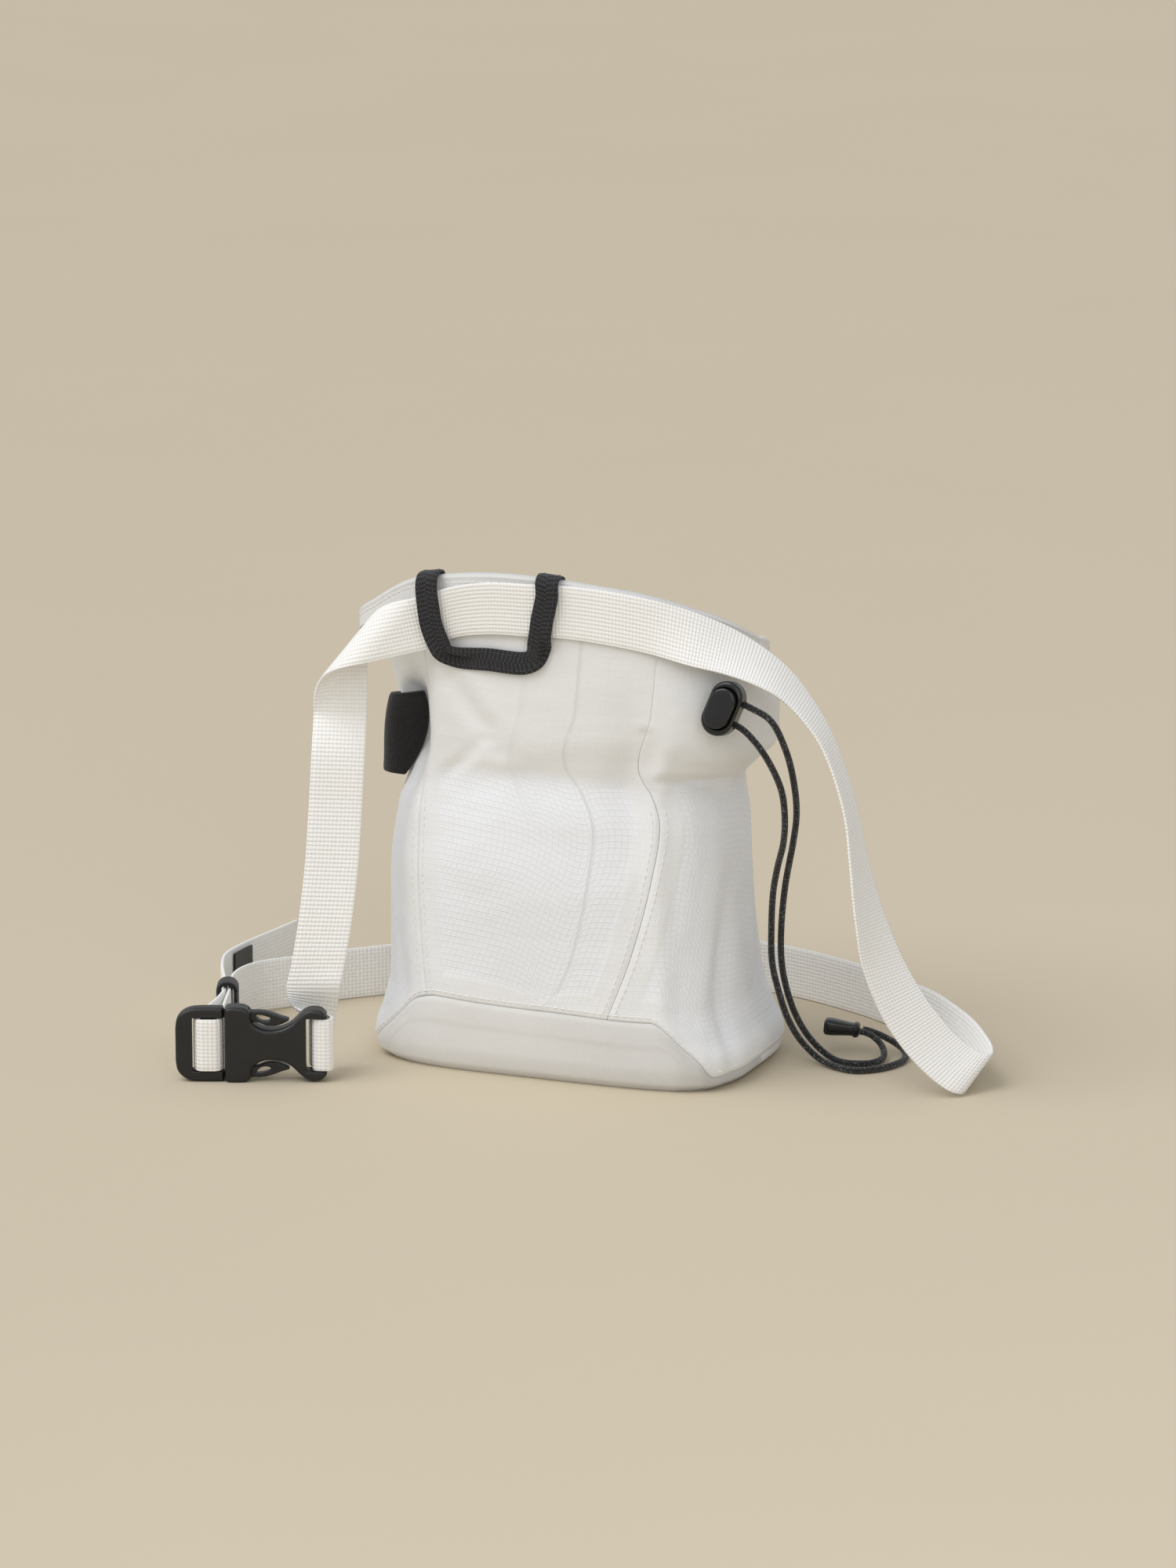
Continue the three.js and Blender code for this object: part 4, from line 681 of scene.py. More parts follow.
RIGHT_DROP = (
    (0.590, -0.905, 0.914, 92, 85),
    (0.790, -0.800, 0.891, 94, 64),
    (0.960, -0.640, 0.862, 96, 42),
    (1.125, -0.490, 0.821, 95, 23),
    (1.228, -0.387, 0.781, 96, 12),
    (1.384, -0.330, 0.697, 99, 2),
    (1.507, -0.300, 0.567, 98, 0),
    (1.561, -0.305, 0.460, 92, 0),
    (1.589, -0.302, 0.401, 86, 0),
    (1.627, -0.289, 0.337, 77, 0),
    (1.681, -0.263, 0.263, 64, 2),
    (1.781, -0.209, 0.176, 57, 15),
    (1.852, -0.165, 0.132, 56, 21),
    (1.932, -0.118, 0.092, 57, 25),
    (2.017, -0.067, 0.060, 59, 30),
    (2.084, -0.020, 0.043, 61, 36),
    (2.118, 0.040, 0.039, 61, 40),
    (2.104, 0.163, 0.041, 60, 45),
    (2.024, 0.413, 0.044, 55, 53),
    (1.913, 0.707, 0.048, 50, 63),
    (1.760, 1.033, 0.051, 48, 73),
    (1.593, 1.337, 0.053, 50, 80),
    (1.333, 1.674, 0.053, 60, 87),
    (1.093, 1.924, 0.053, 90, 90),
    (0.600, 2.272, 0.053, 90, 90),
    (0.000, 2.370, 0.053, 90, 90),
    (-0.600, 2.130, 0.053, 90, 90),
    (-1.067, 1.543, 0.053, 90, 90),
    (-1.360, 0.989, 0.053, 90, 90),
    (-1.527, 0.717, 0.053, 90, 90),
    (-1.713, 0.337, 0.054, 90, 90),
    (-1.820, 0.065, 0.056, 90, 90),
    (-1.833, -0.217, 0.061, 90, 90),
    (-1.793, -0.543, 0.067, 90, 90),
)

# Round the plug's bar: x and y from the bar's middle, in webbing thicknesses
PLUG_LOOP = (
    (3.89, 38),
    (3.89, 30),
    (3.50, 20),
    (3.20, 10),
    (3.10, 4.0),
    (3.45, 1.2),
    (3.20, -0.9),
    (2.20, -2.15),
    (0.00, -2.35),
    (-2.20, -2.15),
    (-3.35, -0.9),
    (-3.65, 1.2),
    (-3.10, 4.0),
    (-1.60, 10),
    (0.90, 20),
    (2.50, 30),
    (2.50, 38),
)

# The free end, from the keeper to the folded hem
TAIL = (
    (-1.840, -0.565, 0.069),
    (-1.960, -0.174, 0.067),
    (-2.020, 0.130, 0.064),
    (-2.033, 0.522, 0.061),
    (-2.013, 0.870, 0.060),
    (-1.987, 1.217, 0.060),
    (-1.973, 1.391, 0.060),
)

UP = np.array([0.0, 0.0, 1.0])
SOCKET_BAR_WIDTH = 3.8
PLUG_BAR_INSET = 12.5


def body_point(x, y, z):
    bag = bag_sizes()
    return np.array([x * bag.width / 2, y * bag.depth / 2, z * bag.rim])


def front_face(x, z, outward):
    """The y of the front cloth, or of the rim hoop where it stands proud, moved outward."""
    bag = bag_sizes()
    turn, y = front_at(x, z, outward)
    rim = rim_height(turn)
    proud = (bag.hoop_thickness - bag.cloth) / 2
    hoop = front_at(x, rim - bag.hoop_height / 2, outward + proud)[1]
    return np.where(z < rim - bag.hoop_height - bag.clearance, y, np.minimum(y, hoop))


def front_run_line(share, up):
    """A line of the run across the front, leaning on whatever stands out furthest behind it."""
    bag, belt = bag_sizes(), belt_sizes()
    t = np.linspace(0, 1, 9)
    x = share * bag.width / 2
    z = up * bag.rim + belt.width * (t - 0.5)
    y = front_face(np.full(9, x), z, bag.clearance + belt.thickness / 2)
    shift = np.min(y - (y[0] + (y[-1] - y[0]) * t))
    foot, head = np.array([x, y[0], z[0]]), np.array([x, y[-1], z[-1]])
    middle = (foot + head) / 2 + np.array([0, shift, 0])
    return cross_line(middle, unit(head - foot), belt.width)


def shoulder_lines():
    """The belt rolled over an axis that crosses it at an angle."""
    width = belt_sizes().width
    heading = BUCKLE_HEADING + 180
    travel = direction(heading, -SHOULDER.slope)
    across = direction(heading, 90 - SHOULDER.slope)
    behind = direction(BUCKLE_HEADING + 90, 0)
    cos, sin = math.cos(math.radians(SHOULDER.angle)), math.sin(math.radians(SHOULDER.angle))
    axis = travel * cos - across * sin
    ahead = travel * sin + across * cos
    radius = SHOULDER.radius
    start = -math.pi * radius / 2
    p = np.linspace(-SHOULDER.reach, SHOULDER.reach, 21)[:, None]
    q = width * (ACROSS - 0.5)[None, :]
    gone = p * sin + q * cos
    along = p * cos - q * sin
    rolled = np.clip((gone - start) / radius, 0, math.pi)
    past = np.maximum(gone - start - math.pi * radius, 0)
    reach = np.minimum(gone, start) + radius * np.sin(rolled) - past
    depth = radius * (1 - np.cos(rolled))
    at = body_point(*SHOULDER.place)
    lines = at + along[..., None] * axis + reach[..., None] * ahead + depth[..., None] * behind
    return list(lines[::-1])


def socket_bar():
    return hardware().buckle_length / 2 - SOCKET_BAR_WIDTH / 2


def plug_bar():
    return -hardware().buckle_length / 2 + PLUG_BAR_INSET


def plug_loop_point(x, y):
    belt = belt_sizes()
    drop = belt.keeper_drop * float(ramp(y, 4, 30))
    return at_buckle(plug_bar() + x * belt.thickness, y * belt.thickness, -drop)


@lru_cache(maxsize=1)
def belt_lines():
    width, thickness = belt_sizes().width, belt_sizes().thickness
    bar = socket_bar()
    lines = []
    for x, y in SOCKET_LOOP:
        lines.append(cross_line(at_buckle(bar + x * thickness, y * thickness, 0), -UP, width))
    for (x, y, z), across in FOOT:
        middle = at_buckle(bar + x * width, y * width, z * width)
        lines.append(cross_line(middle, buckle_direction(across), width))
    for x, y, z, heading, rise in LEFT_DROP:
        lines.append(cross_line(body_point(x, y, z), direction(heading, rise), width))
    lines += shoulder_lines()
    lines += [front_run_line(*row) for row in FRONT_RUN]
    for x, y, z, heading, rise in RIGHT_DROP:
        lines.append(cross_line(body_point(x, y, z), direction(heading, rise), width))
    lines += [cross_line(plug_loop_point(*row), UP, width) for row in PLUG_LOOP]
    lines += [cross_line(body_point(*row), UP, width) for row in TAIL]
    return smooth_lines(lines, 1.2)


# The tape that holds the belt, from the left leg along its lower bar to the right leg: x as a
# share of half width, drop as a share of the rim height, turn of its run in degrees
LOOP_TAPE = (
    (-0.555, 0.045, 275),
    (-0.545, 0.078, 276),
    (-0.535, 0.108, 279),
    (-0.512, 0.136, 290),
    (-0.482, 0.160, 318),
    (-0.440, 0.172, 358),
    (-0.240, 0.171, 360),
    (-0.030, 0.170, 362),
    (0.016, 0.159, 402),
    (0.046, 0.134, 434),
    (0.056, 0.115, 440),
    (0.072, 0.080, 442),
    (0.098, 0.035, 441),
)
# Room left behind the tape in millimetres, and how far beside each place of it the belt is
# looked for, in webbing thicknesses
LOOP_EASE = 0.2
LOOP_LOOK = 2.6


@lru_cache(maxsize=1)
def belt_front():
    """A tree for rays on the belt's middle surface where it passes the front."""
    lines = belt_lines()
    on_front = [i for i, line in enumerate(lines[:-1]) if line[0][2] > bag_sizes().neck]
    cols = lines.shape[1]
    faces = [
        (i * cols + j, i * cols + j + 1, (i + 1) * cols + j + 1, (i + 1) * cols + j)
        for i in on_front
        for j in range(cols - 1)
    ]
    return BVHTree.FromPolygons(lines.reshape(-1, 3).tolist(), faces)


def belt_at(x, z):
    reach = 4 * bag_sizes().depth
    hits = []
    for px, pz in zip(np.ravel(x), np.ravel(z)):
        place = belt_front().ray_cast(Vector((px, -reach, pz)), Vector((0, 1, 0)))[0]
        hits.append(place.y if place is not None else math.inf)
    return np.array(hits).reshape(np.shape(x))


def loop_face(x, z):
    """The y of the tape's middle: outside the cloth, the rim hoop and the belt near there."""
    bag, belt = bag_sizes(), belt_sizes()
    half = belt.tape / 2 + bag.clearance + LOOP_EASE
    faces = []
    look = LOOP_LOOK * belt.thickness
    for dz in (-look, 0, look):
        faces.append(front_face(x, z + dz, half))
        for dx in (-look, 0, look):
            faces.append(belt_at(x + dx, z + dz) - belt.thickness / 2 - half)
    return np.min(faces, axis=0)


def over_rim_line(x, angle, below, side):
    """A line of the tape where it turns over the rim hoop. angle 0 is outside, 180 inside."""
    bag, belt = bag_sizes(), belt_sizes()
    seat = bag.hoop_thickness / 2 + bag.clearance + belt.tape / 2 + LOOP_EASE
    px = x + side * belt.tape_width * (ACROSS - 0.5)
    rim = rim_height(front_at(px, bag.rim - bag.hoop_height / 2)[0])
    outside = loop_face(px, rim - bag.hoop_thickness)
    inside = front_at(px, rim - bag.hoop_height / 2, -bag.cloth / 2 - seat)[1]
    share = (1 - math.cos(math.radians(angle))) / 2
    rise = seat * math.sin(math.radians(angle)) - bag.hoop_thickness / 2
    return np.stack([px, outside + (inside - outside) * share, rim + rise - below], -1)


@lru_cache(maxsize=1)
def loop_lines():
    bag, belt = bag_sizes(), belt_sizes()

    def over_rim(row, side):
        x = row[0] * bag.width / 2
        turned = [over_rim_line(x, angle, 0, side) for angle in (180, 135, 90, 45, 0)]
        return [over_rim_line(x, 180, belt.tape_hem, side), *turned]

    lines = over_rim(LOOP_TAPE[0], 1)
    for x, drop, turn in LOOP_TAPE:
        heading = math.radians(turn + 90)
        across = np.array([math.cos(heading), 0, math.sin(heading)])
        middle = np.array([x * bag.width / 2, 0, bag.rim * (1 - drop)])
        line = cross_line(middle, across, belt.tape_width)
        line[:, 1] = loop_face(line[:, 0], line[:, 2])
        lines.append(line)
    lines += over_rim(LOOP_TAPE[-1], -1)[::-1]
    return smooth_lines(lines, 1.0)


class Recipe:
    """Adds nodes to a material and links them. Values go straight onto sockets."""

    def __init__(self, name, **settings):
        self.material = bpy.data.materials.new(name)
        self.material.use_nodes = True
        self.tree = self.material.node_tree
        self.shader = self.tree.nodes["Principled BSDF"]
        for key, value in settings.items():
            self.set(key.replace("_", " ").title().replace("Ior", "IOR"), value)

    def set(self, socket, value):
        put(self.tree, self.shader.inputs[socket], value)

    def node(self, kind, inputs=None, out=0, **settings):
        node = self.tree.nodes.new("ShaderNode" + kind)
        for key, value in settings.items():
            setattr(node, key, value)
        for key, value in (inputs or {}).items():
            put(self.tree, node.inputs[key], value)
        return node.outputs[out]

    def math(self, operation, *values):
        return self.node("Math", dict(enumerate(values)), operation=operation)

    def places(self):
        """The piece's own UV map in millimetres, across and along."""
        split = self.node("SeparateXYZ", {0: self.node("UVMap", uv_map="Weave")})
        return split, split.node.outputs[1]

    def wave(self, place, pitch, shift=0.0):
        """A wave from 0 to 1 with a pitch in millimetres."""
        angle = self.math("MULTIPLY_ADD", place, 2 * math.pi / pitch, shift)
        return self.math("MULTIPLY_ADD", self.math("SINE", angle), 0.5, 0.5)

    def grain(self, per_mm, detail=2.0):
        """Fine noise by object coordinates, with a scale in waves per millimetre."""
        place = self.node("TexCoord", out=3)
        return self.node("TexNoise", {"Vector": place, "Scale": per_mm / MM, "Detail": detail})

    def mix(self, share, first, second):
        node = self.tree.nodes.new("ShaderNodeMix")
        node.data_type = "RGBA"
        for socket, value in ((0, share), (6, first), (7, second)):
            put(self.tree, node.inputs[socket], value)
        return node.outputs[2]

    def between(self, value, low, high):
        """Maps 0 to 1 onto another range."""
        return self.math("MULTIPLY_ADD", value, high - low, low)

    def raise_by(self, height, mm, strength=1.0):
        bump = self.node("Bump", {"Height": height, "Distance": mm * MM, "Strength": strength})
        self.tree.links.new(bump, self.shader.inputs["Normal"])


def put(tree, socket, value):
    if isinstance(value, bpy.types.NodeSocket):
        tree.links.new(value, socket)
    elif hasattr(socket.default_value, "__len__") and len(value) == 3 and len(socket.default_value) == 4:
        socket.default_value = (*value, 1.0)
    else:
        socket.default_value = value


def shaded(rgb, by):
    return tuple(min(1.0, channel * by) for channel in rgb)


def checks(recipe, across, along, wide, tall):
    """A plain weave: cells that rise by turns. Returns the height from 0 to 1."""
    first = recipe.math("SINE", recipe.math("MULTIPLY", across, math.pi / wide))
    second = recipe.math("SINE", recipe.math("MULTIPLY", along, math.pi / tall))
    return recipe.math("MULTIPLY_ADD", recipe.math("MULTIPLY", first, second), 0.5, 0.5)


# Pitch of the ripstop's grid and width of one of its threads, in millimetres
GRID_PITCH = 2.4
FINE_THREAD = 0.16


@lru_cache(maxsize=None)
def ripstop():
    """Light cloth with a faint square grid of thicker threads, warmer where it is doubled."""
    made = Recipe("Ripstop", roughness=0.62, sheen_weight=0.25, sheen_roughness=0.5)
    across, along = made.places()
    doubled = made.node("Attribute", attribute_name="doubled", out=2)
    tone = made.mix(doubled, tuple(finishes().ripstop), tuple(finishes().doubled))
    lines = [made.math("POWER", made.wave(place, GRID_PITCH), 14.0) for place in (across, along)]
    single = made.math("SUBTRACT", 1.0, made.math("MULTIPLY", doubled, 0.75))
    grid = made.math("MULTIPLY", made.math("MAXIMUM", *lines), single)
    weave = checks(made, across, along, FINE_THREAD, FINE_THREAD)
    blotch = made.grain(0.06, 3.0)
    shade = made.math("MULTIPLY_ADD", grid, -0.04, 1.0)
    shade = made.math("MULTIPLY", shade, made.between(blotch, 0.985, 1.015))
    grey = made.node("CombineColor", {0: shade, 1: shade, 2: shade})
    tinted = made.tree.nodes.new("ShaderNodeMix")
    tinted.data_type = "RGBA"
    tinted.blend_type = "MULTIPLY"
    put(made.tree, tinted.inputs[0], 1.0)
    put(made.tree, tinted.inputs[6], tone)
    put(made.tree, tinted.inputs[7], grey)
    made.set("Base Color", tinted.outputs[2])
    height = made.math("ADD", made.math("MULTIPLY", grid, 0.8), made.math("MULTIPLY", weave, 0.35))
    height = made.math("ADD", height, made.math("MULTIPLY", made.grain(0.5, 4.0), 0.3))
    made.raise_by(height, 0.1)
    return made.material


@lru_cache(maxsize=None)
def twill():
    """Off-white cloth with fine slanted ribs, with painted shade between the ribs."""
    made = Recipe("Twill", roughness=0.86, sheen_weight=0.3, sheen_roughness=0.6)
    across, along = made.places()
    slant = made.math("ADD", across, made.math("MULTIPLY", along, 1.3))
    ribs = made.wave(slant, 0.62)
    cross = made.wave(made.math("SUBTRACT", along, across), 0.45)
    grain = made.grain(0.5, 4.0)
    # Painted shade and random grain: the colour is darker between the ribs and lighter on them, varied by the
    # grain.
    share = made.math("ADD", made.math("MULTIPLY", ribs, 0.45), made.math("MULTIPLY", grain, 0.6))
    base = tuple(finishes().twill)
    made.set("Base Color", made.mix(share, shaded(base, 0.965), shaded(base, 1.03)))
    height = made.math("ADD", ribs, made.math("MULTIPLY", cross, 0.35))
    height = made.math("ADD", height, made.math("MULTIPLY", grain, 0.4))
    made.raise_by(height, 0.07)
    return made.material


@lru_cache(maxsize=None)
def webbing():
    """Off-white webbing, ribbed across on its outer face and basket woven on its inner face, with painted
    shade in the hollows of the weave.
    """
    made = Recipe("Webbing", roughness=0.74, sheen_weight=0.3, sheen_roughness=0.45)
    across, along = made.places()
    ribs = made.math("POWER", made.wave(along, 1.6), 0.6)
    threads = made.wave(across, 1.45)
    face = made.math("ADD", made.math("MULTIPLY", ribs, 0.65), made.math("MULTIPLY", threads, 0.35))
    lines = [made.math("MULTIPLY", made.wave(*place), 0.5) for place in ((across, 1.5), (along, 1.3))]
    basket = made.math("ADD", *lines)
    inside = made.node("Attribute", attribute_name="inside", out=2)
    height = made.node("Mix", {0: inside, 2: face, 3: basket})
    grain = made.grain(0.9, 4.0)
    base = tuple(finishes().webbing)
    # Painted shade: the colour follows the weave's height, darker in its hollows and lighter on its raised
    # ribs, with a little random grain.
    share = made.math("MULTIPLY_ADD", height, 0.8, made.math("MULTIPLY", grain, 0.3))
    made.set("Base Color", made.mix(share, shaded(base, 0.88), shaded(base, 1.03)))
    height = made.math("ADD", height, made.math("MULTIPLY", grain, 0.35))
    made.raise_by(height, 0.28)
    return made.material


def black_weave(name, wide, tall, slanted, light, roughness=0.8):
    """Black woven tape with painted highlights on the threads where they surface and painted shade between
    them.
    """
    made = Recipe(name, roughness=roughness, sheen_weight=0.25, sheen_roughness=0.4)
    across, along = made.places()
    if slanted:
        side = made.math("ABSOLUTE", across)
        along = made.math("MULTIPLY_ADD", side, 0.8, along)
    cells = checks(made, across, along, wide, tall)
    grain = made.grain(0.8, 3.0)
    # Painted highlight and shade: the colour rises to light times the base on the raised threads and falls to
    # 0.6 times it in the hollows.
    painted_sheen = made.math("POWER", cells, 3.0)
    painted_sheen = made.math("MULTIPLY", painted_sheen, made.between(grain, 0.3, 1.4))
    base = tuple(finishes().tape)
    made.set("Base Color", made.mix(painted_sheen, shaded(base, 0.6), shaded(base, light)))
    height = made.math("MULTIPLY_ADD", grain, 0.4, cells)
    made.raise_by(height, 0.2)
    return made.material


@lru_cache(maxsize=None)
def black_tape():
    return black_weave("Black_tape", 0.85, 0.85, True, 10.0)


@lru_cache(maxsize=None)
def elastic():
    return black_weave("Black_elastic", 0.9, 0.55, False, 2.0, 0.9)


@lru_cache(maxsize=None)
def label_cloth():
    return black_weave("Label_cloth", 0.3, 0.3, False, 2.4, 0.5)


def moulded(name, roughness, grain_height):
    """Black moulded plastic with a fine spark-eroded grain and rubbed patches."""
    made = Recipe(name, specular_ior_level=0.5)
    patches = made.grain(0.12, 3.0)
    base = tuple(finishes().plastic)
    made.set("Base Color", made.mix(patches, shaded(base, 0.8), shaded(base, 1.6)))
    made.set("Roughness", made.between(patches, roughness - 0.06, roughness + 0.1))
    made.raise_by(made.grain(2.2, 2.0), grain_height)
    return made.material


@lru_cache(maxsize=None)
def buckle_plastic():
    return moulded("Buckle_plastic", 0.36, 0.02)


@lru_cache(maxsize=None)
def lock_plastic():
    return moulded("Lock_plastic", 0.22, 0.008)


@lru_cache(maxsize=None)
def cord_braid():
    """A black braid with grey flecks, by the cord's own length and girth."""
    made = Recipe("Cord_braid", roughness=0.78, sheen_weight=0.3, sheen_roughness=0.4)
    across, along = made.places()
    girth = math.pi * hardware().cord
    one = made.wave(made.math("ADD", along, across), girth / 4)
    other = made.wave(made.math("SUBTRACT", along, across), girth / 4)
    strands = made.math("MAXIMUM", one, other)
    threads = made.wave(made.math("MULTIPLY_ADD", along, 0.35, across), girth / 24)
    flecks = made.grain(1.3, 1.0)
    flecks = made.node("MapRange", {0: flecks, 1: 0.58, 2: 0.66, 3: 0.0, 4: 1.0})
    flecks = made.math("MULTIPLY", flecks, strands)
    base = tuple(finishes().tape)
    made.set("Base Color", made.mix(flecks, shaded(base, 1.2), (0.16, 0.16, 0.165)))
    made.raise_by(made.math("MULTIPLY_ADD", threads, 0.3, strands), 0.3)
    return made.material


@lru_cache(maxsize=None)
def thread(dark):
    name = "Dark_thread" if dark else "Light_thread"
    made = Recipe(name, roughness=0.7, sheen_weight=0.2)
    base = (0.035, 0.035, 0.038) if dark else tuple(finishes().thread)
    twist = made.grain(1.6, 2.0)
    made.set("Base Color", made.mix(twist, shaded(base, 0.8), shaded(base, 1.1)))
    made.raise_by(twist, 0.05)
    return made.material


@lru_cache(maxsize=None)
def floor_paper():
    made = Recipe("Floor_paper", roughness=0.95, specular_ior_level=0.2)
    base = tuple(finishes().floor)
    blotch = made.grain(0.004, 2.0)
    made.set("Base Color", made.mix(blotch, shaded(base, 0.985), shaded(base, 1.015)))
    made.raise_by(made.grain(1.2, 3.0), 0.03)
    return made.material


CAMERA_PLACE = (868.1, -2140.5, 659.5)
CAMERA_AIM = (-6.1, 23.2, 99.3)
CAMERA_LENS = 143.9
CAMERA_SENSOR = 36
CAMERA_FAR = 50


def make_camera():
    data = bpy.data.cameras.new("Camera")
    data.lens = CAMERA_LENS
    data.sensor_width = CAMERA_SENSOR
    data.clip_end = CAMERA_FAR
    camera = bpy.data.objects.new("Camera", data)
    bpy.context.scene.collection.objects.link(camera)
    place, aim = Vector(CAMERA_PLACE) * MM, Vector(CAMERA_AIM) * MM
    camera.location = place
    camera.rotation_euler = (aim - place).to_track_quat("-Z", "Y").to_euler()
    bpy.context.scene.camera = camera


# Cord lock: x as a share of half width, z as a share of the rim height, then heading, rise and
# roll of its face in degrees
LOCK = SimpleNamespace(x=0.955, z=0.757, heading=273, rise=12, roll=20)


@lru_cache(maxsize=1)
def lock_matrix():
    """The lock's frame: x across to the right, y along its length, z out of its button."""
    bag, hard = bag_sizes(), hardware()
    out = direction(LOCK.heading, LOCK.rise)
    level = direction(LOCK.heading + 90, 0)
    up = unit(np.cross(out, level))
    roll = math.radians(LOCK.roll)
    long = up * math.cos(roll) + level * math.sin(roll)
    wide = np.cross(long, out)
    basis = Matrix((wide, long, out)).transposed().to_4x4()
    back = np.array([LOCK.x * bag.width / 2, 0, LOCK.z * bag.rim])
    angle = np.arange(24) / 24 * 2 * math.pi
    x = np.cos(angle)[:, None] * wide * hard.lock_width / 2
    edge = x + np.sin(angle)[:, None] * long * hard.lock_length / 2 + back
    back[1] = np.min(front_at(edge[:, 0], edge[:, 2], bag.clearance)[1] - edge[:, 1])
    return Matrix.Translation(Vector(back)) @ basis


# Each strand of the drawcord from its bore in the lock to the end piece, in metres
UPPER_STRAND = (
    (0.0890, -0.0335, 0.1446),
    (0.0934, -0.0280, 0.1318),
    (0.0946, -0.0220, 0.1169),
    (0.0934, -0.0165, 0.1050),
    (0.0904, -0.0118, 0.0930),
    (0.0878, -0.0086, 0.0845),
    (0.0848, -0.0048, 0.0740),
    (0.0820, -0.0008, 0.0580),
    (0.0806, 0.0034, 0.0432),
    (0.0809, 0.0080, 0.0315),
    (0.0832, 0.0122, 0.0200),
    (0.0866, 0.0168, 0.0108),
    (0.0914, 0.0202, 0.0042),
    (0.0976, 0.0194, 0.0014),
    (0.1050, 0.0181, 0.0014),
    (0.1110, 0.0217, 0.0014),
    (0.1128, 0.0290, 0.0020),
    (0.1100, 0.0348, 0.0046),
    (0.1054, 0.0366, 0.0076),
    (0.1018, 0.0364, 0.0087),
)
LOWER_STRAND = (
    (0.0848, -0.0354, 0.1352),
    (0.0886, -0.0304, 0.1260),
    (0.0908, -0.0256, 0.1160),
    (0.0906, -0.0214, 0.1050),
    (0.0882, -0.0162, 0.0940),
    (0.0842, -0.0112, 0.0835),
    (0.0810, -0.0072, 0.0725),
    (0.0789, -0.0032, 0.0576),
    (0.0778, 0.0008, 0.0428),
    (0.0788, 0.0050, 0.0310),
    (0.0814, 0.0090, 0.0187),
    (0.0852, 0.0130, 0.0096),
    (0.0916, 0.0148, 0.0030),
    (0.1005, 0.0110, 0.0014),
    (0.1083, 0.0092, 0.0014),
    (0.1150, 0.0140, 0.0014),
    (0.1194, 0.0221, 0.0014),
    (0.1206, 0.0310, 0.0014),
    (0.1180, 0.0384, 0.0022),
    (0.1124, 0.0426, 0.0040),
    (0.1066, 0.0422, 0.0066),
    (0.1020, 0.0396, 0.0087),
)
CORD_SIDES = 14
CORD_END = SimpleNamespace(place=(99.9, 38.0, 8.8), heading=193, rise=5)


def cord_route(side, strand):
    bag, hard = bag_sizes(), hardware()

    def bore(x):
        return np.array(lock_matrix() @ Vector((x, side * hard.cord_spacing / 2, hard.cord_level)))

    into = direction(CORD_END.heading, CORD_END.rise)
    points = [np.array(p) / MM for p in strand]
    start = [bore(2 * bag.clearance), bore(hard.lock_width / 2 + hard.cord)]
    route = [*start, *points, points[-1] + into * hard.cord / 2]
    return smooth_path(route, 0.9)


def tube_rings(path, radius, sides):
    """Rings round a path, carried along it without twist."""
    tangents = unit(np.gradient(path, axis=0))
    normal = unit(np.cross(tangents[0], UP))
    turns = np.arange(sides) / sides * 2 * math.pi
    rings = []
    for place, tangent in zip(path, tangents):
        normal = unit(normal - tangent * (normal @ tangent))
        other = np.cross(tangent, normal)
        rings.append(place + radius * (np.outer(np.cos(turns), normal) + np.outer(np.sin(turns), other)))
    return np.array(rings)


def make_cord_end():
    """The tapered end piece: a collar, a neck and a widening body with soft corners."""
    hard = hardware()
    along = direction(CORD_END.heading, CORD_END.rise)
    wide = direction(CORD_END.heading + 90, 0)
    tall = np.cross(wide, along)
    profile = table(
        "along wide tall",
        (0.00, 0.34, 0.28),
        (0.03, 0.42, 0.36),
        (0.12, 0.46, 0.40),
        (0.15, 0.45, 0.39),
        (0.18, 0.40, 0.33),
        (0.22, 0.40, 0.33),
        (0.50, 0.45, 0.38),
        (0.86, 0.52, 0.44),
        (0.95, 0.50, 0.42),
        (1.00, 0.40, 0.32),
    )
    turns = np.arange(48) / 48 * 2 * math.pi
    cos, sin = np.cos(turns), np.sin(turns)
    a = np.sign(cos) * np.abs(cos) ** 0.55
    b = np.sign(sin) * np.abs(sin) ** 0.55
    rings = []
    for t in np.linspace(0, 1, 60):
        w = follow(profile, "along", "wide", t) * hard.end_width
        h = follow(profile, "along", "tall", t) * hard.end_width
        middle = np.array(CORD_END.place) + along * t * hard.end_length
        rings.append(middle + np.outer(a * w, wide) + np.outer(b * h, tall))
    return swept("Cord_end", np.array(rings), False)


def make_drawcord():
    hard = hardware()
    end = finish_piece(make_cord_end(), lock_plastic(), ["cord_end"])
    strands = (
        ("Drawcord_upper", 1, UPPER_STRAND, "drawcord_upper"),
        ("Drawcord_lower", -1, LOWER_STRAND, "drawcord_lower"),
    )
    for name, side, strand, node in strands:
        path = cord_route(side, strand)
        obj = swept(name, tube_rings(path, hard.cord / 2, CORD_SIDES), False)
        finish_piece(obj, cord_braid(), [node])


# Lift of the doubled cloth beside a seam, depth of the groove at the seam, and how far from a
# seam of the wall and from the base panel's edge their stitches lie, in millimetres
SEAM_LIFT = 0.22
SEAM_GROOVE = 0.36
SEAM_STITCH = 2.4
BASE_STITCH = 2.2


def seam_shape(distance):
    """Height of the wall cloth near a seam: a raised doubled strip and a groove at the seam."""
    bag = bag_sizes()
    strip_lift = SEAM_LIFT * (1 - ramp(distance, bag.seam_strip - 1.8, bag.seam_strip + 0.6))
    return strip_lift - SEAM_GROOVE * np.exp(-(distance**2))


